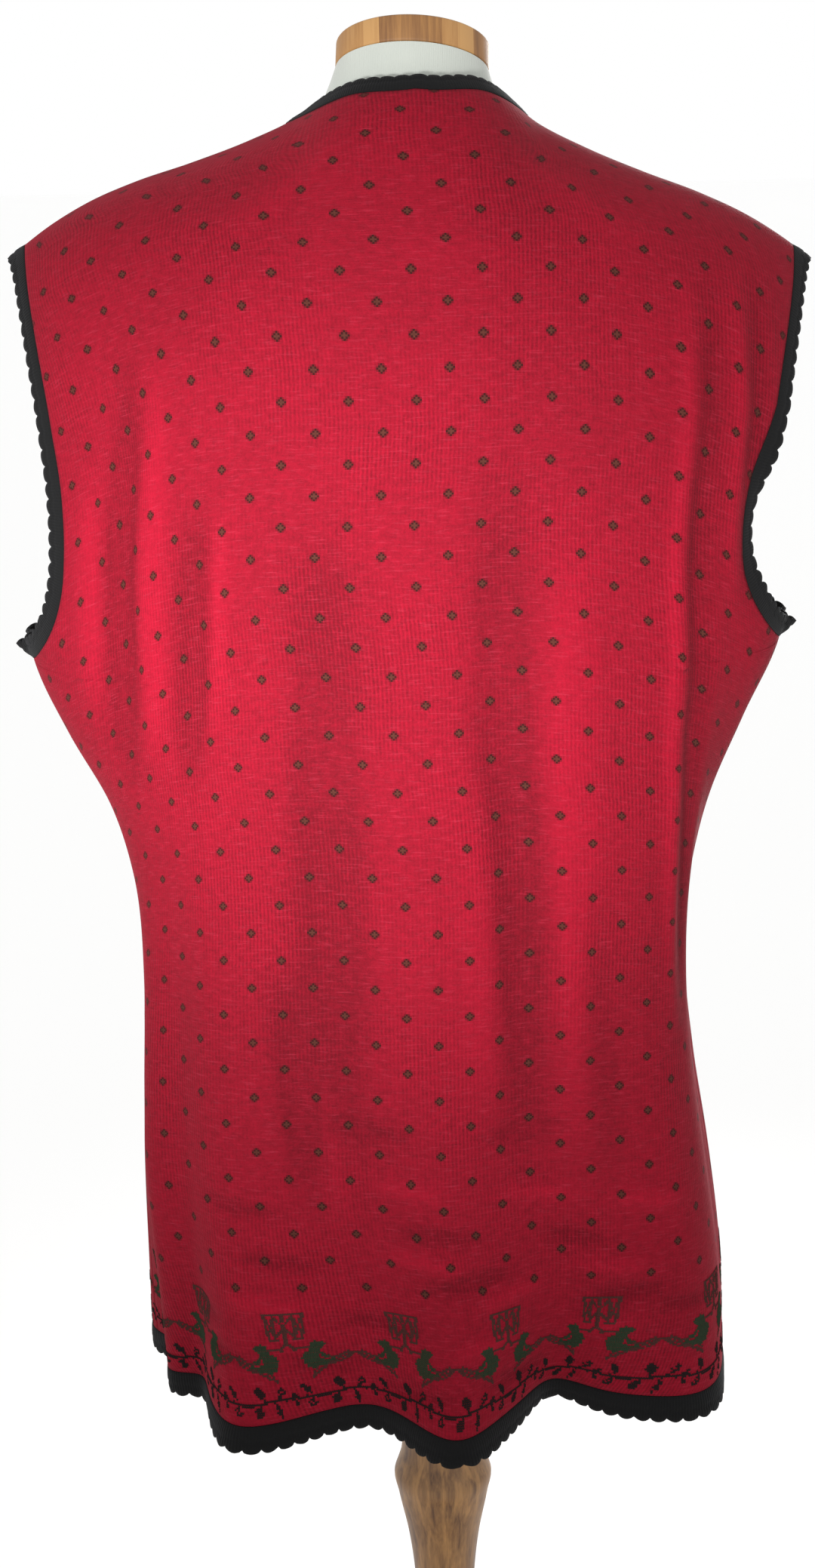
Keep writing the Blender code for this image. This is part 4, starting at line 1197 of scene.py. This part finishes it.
angle = np.linspace(0.0, 2.0 * math.pi, BUTTON_SIDES, endpoint=False)
button_points = [(0.0, 0.0, 0.0)]
button_faces = []
inner = BUTTON_PROFILE[1:-1]
for radius, lift in inner:
    for turn in angle:
        reach = radius * BUTTON_RADIUS
        button_points.append((reach * math.cos(turn), reach * math.sin(turn), lift * BUTTON_THICKNESS))
button_points.append((0.0, 0.0, BUTTON_PROFILE[-1][1] * BUTTON_THICKNESS))
last = len(button_points) - 1
for side in range(BUTTON_SIDES):
    after = (side + 1) % BUTTON_SIDES
    button_faces.append((0, 1 + after, 1 + side))
    for level in range(len(inner) - 1):
        low = 1 + level * BUTTON_SIDES
        high = low + BUTTON_SIDES
        button_faces.append((low + side, low + after, high + after, high + side))
    top = 1 + (len(inner) - 1) * BUTTON_SIDES
    button_faces.append((top + side, top + after, last))

for number, rise in enumerate(BUTTON_RISES, start=1):
    line = cloth_row(np.array((math.pi - 0.02, math.pi, math.pi + 0.02)), rise)
    above = cloth_row(np.array((math.pi,)), rise + 0.003)[0]
    normal = np.cross(line[2] - line[0], above - line[1])
    normal *= math.copysign(1.0, normal[1]) / np.linalg.norm(normal)
    sideways = np.cross((0.0, 0.0, 1.0), normal)
    sideways /= np.linalg.norm(sideways)
    frame_of = np.stack((sideways, np.cross(normal, sideways), normal))
    points = np.array(button_points) @ frame_of + line[1] + normal * BUTTON_LIFT
    button = new_piece("button_%d_moulded" % number, points, button_faces, horn)
    holes = []
    for turn in (0.25, 0.75, 1.25, 1.75):
        bpy.ops.mesh.primitive_cylinder_add(vertices=HOLE_SIDES, radius=BUTTON_HOLE, depth=HOLE_DEPTH)
        hole = bpy.context.object
        spot = HOLE_REACH * np.array((math.cos(turn * math.pi), math.sin(turn * math.pi), 0.0))
        world = Matrix.Identity(4)
        for axis in range(3):
            world.col[axis][:3] = frame_of[axis]
        world.translation = spot @ frame_of + line[1] + normal * BUTTON_LIFT
        hole.data.transform(world)
        cut = button.modifiers.new("hole", "BOOLEAN")
        cut.operation = "DIFFERENCE"
        cut.object = hole
        holes.append(hole)
    graph = bpy.context.evaluated_depsgraph_get()
    drilled = bpy.data.meshes.new_from_object(button.evaluated_get(graph), depsgraph=graph)
    button.modifiers.clear()
    button.data = drilled
    button.data.set_sharp_from_angle(angle=BUTTON_SHARP)
    for hole in holes:
        bpy.data.objects.remove(hole, do_unlink=True)
    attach(button, "root")
    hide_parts("button_%d" % number)


# Dress form
# The limbless torso is moulded and covered in stretched white cotton jersey, which shows
# only at the neck. The jersey's wales run up and down 0.9 mm apart.

FORM_SIDES = 96
FORM_CORNERS = 0.80
FORM_SEAT = 0.0024
FORM_WIDTH = 0.162
NECK_RELIEF = 0.0025
NECK_RADIUS = 0.039
NECK_FLARE = 0.14
SHARP_ANGLE = math.radians(40.0)
JERSEY_WALE = 0.0009
CAP_THICKNESS = 0.014
CAP_CENTRE = np.array((-0.001, 0.000, 1.108))
CAP_FORWARD = math.radians(22.0)
CAP_SIDEWAYS = math.radians(3.0)

# Form rings: height, half width, share of the cloth's depth behind and in front
FORM_RINGS = np.array((
    (0.455, 0.138, 0.80, 0.74), (0.462, 0.144, 0.84, 0.78), (0.500, 0.148, 0.88, 0.82),
    (0.560, 0.134, 0.90, 0.84), (0.620, 0.128, 0.90, 0.86), (0.700, 0.137, 0.92, 0.90),
    (0.780, 0.156, 0.94, 0.93), (0.850, 0.162, 0.94, 0.93), (0.900, 0.162, 0.95, 0.93),
))
FORM_SLICES = (0.930, 0.945, 0.960, 0.973, 0.985, 0.995, 1.003, 1.010, 1.016, 1.021, 1.026,
               1.031, 1.036, 1.041, 1.046, 1.050, 1.054, 1.058, 1.062)

# Neck: share of the climb, share of the narrowing behind and at the sides
NECK_STEPS = np.array((
    (0.0, 0.0, 0.0), (0.25, 0.40, 0.58), (0.50, 0.66, 0.79), (0.75, 0.87, 0.91), (1.0, 1.0, 1.0),
))

cap_up = np.array((math.sin(CAP_SIDEWAYS), math.sin(CAP_FORWARD), 0.0))
cap_up[2] = math.sqrt(1.0 - cap_up[0] ** 2 - cap_up[1] ** 2)
cap_right = np.cross((0.0, 1.0, 0.0), cap_up)
cap_right /= np.linalg.norm(cap_right)
cap_ahead = np.cross(cap_up, cap_right)


def cap_ring(radius, below, sides):
    """Ring of the slanted neck at a depth below the cap's top face."""
    turn = np.linspace(0.0, 2.0 * math.pi, sides, endpoint=False)
    circle = np.sin(turn)[:, None] * cap_right - np.cos(turn)[:, None] * cap_ahead
    return CAP_CENTRE - cap_up * below + radius * circle


def form_slice(height):
    """Level slice through the form's shoulders, kept under the cloth."""
    def tops_at(across):
        top, middle = shoulder_line(across)
        share = np.clip(np.abs(across) / FORM_WIDTH, 0.0, 1.0)
        relief = NECK_RELIEF * np.exp(-((np.abs(across) - NECK_POINT) / 0.020) ** 2)
        raised = top - FORM_SEAT - WALL - relief - CHEST
        return CHEST + raised * (1.0 - share ** 12) ** (1.0 / 12.0), middle

    samples = np.linspace(0.0, FORM_WIDTH, 400)
    reach = [samples[tops_at(hand * samples)[0] >= height].max() for hand in (1.0, -1.0)]
    turn = np.linspace(0.0, 2.0 * math.pi, FORM_SIDES, endpoint=False)
    across = np.where(np.sin(turn) >= 0.0, *reach) * signed_power(np.sin(turn), FORM_CORNERS)
    back_depth, front_depth = (float(read_table(RINGS, column, CHEST)) for column in (2, 3))
    tops, middle = tops_at(across)
    upward = np.clip((height - CHEST) / np.maximum(tops - CHEST, SEAM), 0.0, 1.0)
    behind = np.cos(turn) >= 0.0
    power = np.where(behind, BEHIND_CURVE, AHEAD_CURVE)
    inward = np.cos(np.arcsin(upward ** (1.0 / power))) ** power
    ring_share = (1.0 - np.clip(np.abs(across) / FORM_WIDTH, 0.0, 1.0) ** 2.5) ** 0.4
    start = np.where(behind, -(back_depth - WALL - FORM_SEAT), 0.93 * front_depth) * ring_share
    ahead = middle + (start - middle) * inward
    ahead = np.where(np.abs(np.cos(turn)) < 0.001, middle, ahead)
    return np.stack((across, ahead, np.full(turn.shape, height)), axis=-1)


def lofted(name, rings, finish):
    """Closed piece through a stack of rings."""
    count = len(rings[0])
    points = np.concatenate(rings)
    start = np.arange(len(rings) - 1)[:, None] * count
    first = (start + np.arange(count)).reshape(-1)
    after = (start + (np.arange(count) + 1) % count).reshape(-1)
    faces = np.stack((first, after, after + count, first + count), axis=1).tolist()
    faces.append(tuple(range(count))[::-1])
    faces.append(tuple((len(rings) - 1) * count + side for side in range(count)))
    piece = new_piece(name, points, faces, finish)
    work = bmesh.new()
    work.from_mesh(piece.data)
    turn_outward(work)
    work.to_mesh(piece.data)
    work.free()
    piece.data.set_sharp_from_angle(angle=SHARP_ANGLE)
    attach(piece, "root")
    return piece


jersey, tree, shader = new_material("cotton_jersey_white")
place = add_node(tree, "ShaderNodeTexCoord").outputs["Object"]
parts = add_node(tree, "ShaderNodeSeparateXYZ", {"Vector": place})
turn = math_node(tree, "MULTIPLY", parts.outputs["X"], 2.0 * math.pi / JERSEY_WALE)
nap = noise_on(tree, place, 700.0, 3.0)
cloud = noise_on(tree, place, 28.0, 3.0)
height = math_node(tree, "MULTIPLY_ADD", math_node(tree, "SINE", turn), 0.35, nap)
dress(tree, shader, mix_colour(tree, cloud, "#9BA099", "#AFB2AA"),
      {"Roughness": 0.9, "Sheen Weight": 0.2}, height, 0.4, 0.0003)

turn_round = np.linspace(0.0, 2.0 * math.pi, FORM_SIDES, endpoint=False)
form_rings = []
for height in np.concatenate((np.linspace(0.455, 0.470, 6), np.linspace(0.480, 0.900, 43))):
    half_width, behind, before = (
        float(read_table(FORM_RINGS, column, height)) for column in (1, 2, 3)
    )
    back_depth, front_depth = (float(read_table(RINGS, column, height)) for column in (2, 3))
    depth = np.where(np.cos(turn_round) >= 0.0, back_depth * behind, front_depth * before)
    form_rings.append(np.stack((
        half_width * signed_power(np.sin(turn_round), FORM_CORNERS),
        -depth * signed_power(np.cos(turn_round), FORM_CORNERS),
        np.full(FORM_SIDES, height),
    ), axis=-1))
form_rings += [form_slice(height) for height in FORM_SLICES]
last_slice = form_rings[-1]
neck_top = cap_ring(NECK_RADIUS, CAP_THICKNESS + SEAM, FORM_SIDES)
for share in np.linspace(0.0, 1.0, 19)[1:]:
    behind, beside = (float(read_table(NECK_STEPS, column, share)) for column in (1, 2))
    ease = behind + (beside - behind) * np.sin(turn_round) ** 2
    ahead = np.clip(0.35 - 1.4 * np.cos(turn_round), 0.0, 1.0)
    ease *= 1.0 - NECK_FLARE * ahead * math.sin(math.pi * share)
    ring = last_slice + (neck_top - last_slice) * share
    ring[:, :2] = last_slice[:, :2] + (neck_top - last_slice)[:, :2] * ease[:, None]
    form_rings.append(ring)
torso = lofted("jersey_torso", form_rings, jersey)
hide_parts("form_torso")


# Neck cap
# A disc of laminated bamboo board, turned round and sanded, let into the top of the neck.
# The board's strips are about 8 mm wide and run from back to front, each of its own tone.

CAP_EASE = 0.0015
CAP_SIDES = 128
STRIP_WIDTH = 0.0078
STRIP_SHIFT = 40.3


def colour_ramp(tree, factor, stops):
    """Colour at a factor between stops, each a place and a hex value."""
    ramp = add_node(tree, "ShaderNodeValToRGB", {"Fac": factor})
    elements = ramp.color_ramp.elements
    for element, (position, code) in zip(elements, (stops[0], stops[-1])):
        element.position = position
        element.color = linear(code)
    for position, code in stops[1:-1]:
        elements.new(position).color = linear(code)
    return ramp.outputs["Color"]


bamboo, tree, shader = new_material("laminated_bamboo_oiled")
place = add_node(tree, "ShaderNodeTexCoord").outputs["Object"]
parts = add_node(tree, "ShaderNodeSeparateXYZ", {"Vector": place})
strip = math_node(tree, "MULTIPLY_ADD", parts.outputs["X"], 1.0 / STRIP_WIDTH, STRIP_SHIFT)
tone = add_node(tree, "ShaderNodeTexWhiteNoise", {"W": math_node(tree, "FLOOR", strip)},
                noise_dimensions="1D")
fibre = noise_on(tree, place, (1500.0, 60.0, 55.0), 3.0, 0.6)
wide = noise_on(tree, place, (330.0, 20.0, 16.0), 2.0)
mixed = -0.08
for part, weight in ((tone.outputs["Value"], 0.62), (fibre, 0.35), (wide, 0.45)):
    mixed = math_node(tree, "MULTIPLY_ADD", part, weight, mixed)
colour = colour_ramp(tree, mixed, ((0.25, "#5A3618"), (0.55, "#8C6233"), (0.85, "#A57C49")))
dress(tree, shader, colour, {"Roughness": 0.62}, fibre, 0.2, 0.0002)

rounded = np.linspace(0.0, math.pi / 2.0, 5)
cap_rings = [
    cap_ring(NECK_RADIUS - CAP_EASE * (1.0 - math.sin(turn)),
             CAP_THICKNESS - CAP_EASE * (1.0 - math.cos(turn)), CAP_SIDES)
    for turn in rounded
]
cap_rings += [
    cap_ring(NECK_RADIUS - CAP_EASE * (1.0 - math.cos(turn)),
             CAP_EASE * (1.0 - math.sin(turn)), CAP_SIDES)
    for turn in rounded
]
cap = lofted("bamboo_cap", cap_rings, bamboo)
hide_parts("neck_cap")


# Stand
# Stem and base are turned in a light hardwood, stained and waxed. The stem's collar sits
# just under the hem; the round base lies flat on the floor.

STEM = np.array((
    (0.0303, 0.034), (0.040, 0.034), (0.046, 0.026), (0.056, 0.021), (0.066, 0.024),
    (0.074, 0.021), (0.100, 0.026), (0.130, 0.0265), (0.165, 0.021), (0.205, 0.0170),
    (0.240, 0.0178), (0.265, 0.0208), (0.292, 0.0262), (0.305, 0.0282), (0.310, 0.0265),
    (0.316, 0.0245), (0.335, 0.0235), (0.4547, 0.0235),
))
BASE_RADIUS = 0.165
BASE_THICKNESS = 0.030
BASE_EASE = 0.006
BASE_BEVEL = 0.003
STEM_SIDES = 72
BASE_SIDES = 128


def wood_material(name, long_grain, fine_grain):
    """Waxed hardwood, its grain stretched along one axis."""
    made, tree, shader = new_material(name)
    place = add_node(tree, "ShaderNodeTexCoord").outputs["Object"]
    grain = noise_on(tree, place, long_grain, 4.0, 0.6, 0.6)
    pore = noise_on(tree, place, fine_grain, 2.0, 0.6)
    mixed = math_node(tree, "MULTIPLY_ADD", pore, 0.25, grain)
    colour = colour_ramp(tree, mixed, ((0.42, "#4C2D12"), (0.78, "#956C3C")))
    dress(tree, shader, colour, {"Roughness": 0.45}, mixed, 0.15, 0.0003)
    return made


hardwood = wood_material("turned_hardwood_waxed", (150.0, 150.0, 7.0), (900.0, 900.0, 45.0))
base_wood = wood_material("flat_hardwood_waxed", (6.0, 95.0, 95.0), (30.0, 700.0, 700.0))


def turned_piece(name, profile, finish, sides):
    """Piece turned on the upright axis from heights and radii."""
    turn = np.linspace(0.0, 2.0 * math.pi, sides, endpoint=False)
    circle = np.stack((np.sin(turn), -np.cos(turn)), axis=-1)
    return lofted(name, [
        np.concatenate((circle * radius, np.full((sides, 1), height)), axis=1)
        for height, radius in profile
    ], finish)


heights = np.unique(np.concatenate((np.linspace(STEM[0, 0], STEM[-1, 0], 150), STEM[:, 0])))
stem_profile = [(height, float(read_table(STEM, 1, height))) for height in heights]
stem = turned_piece("turned_stem", stem_profile, hardwood, STEM_SIDES)
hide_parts("stem")

base_profile = [(0.0, BASE_RADIUS - BASE_BEVEL), (BASE_BEVEL, BASE_RADIUS)]
for turn in np.linspace(0.0, math.pi / 2.0, 6):
    height = BASE_THICKNESS - BASE_EASE * (1.0 - math.sin(turn))
    base_profile.append((height, BASE_RADIUS - BASE_EASE * (1.0 - math.cos(turn))))
base = turned_piece("turned_base", base_profile, base_wood, BASE_SIDES)
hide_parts("base")
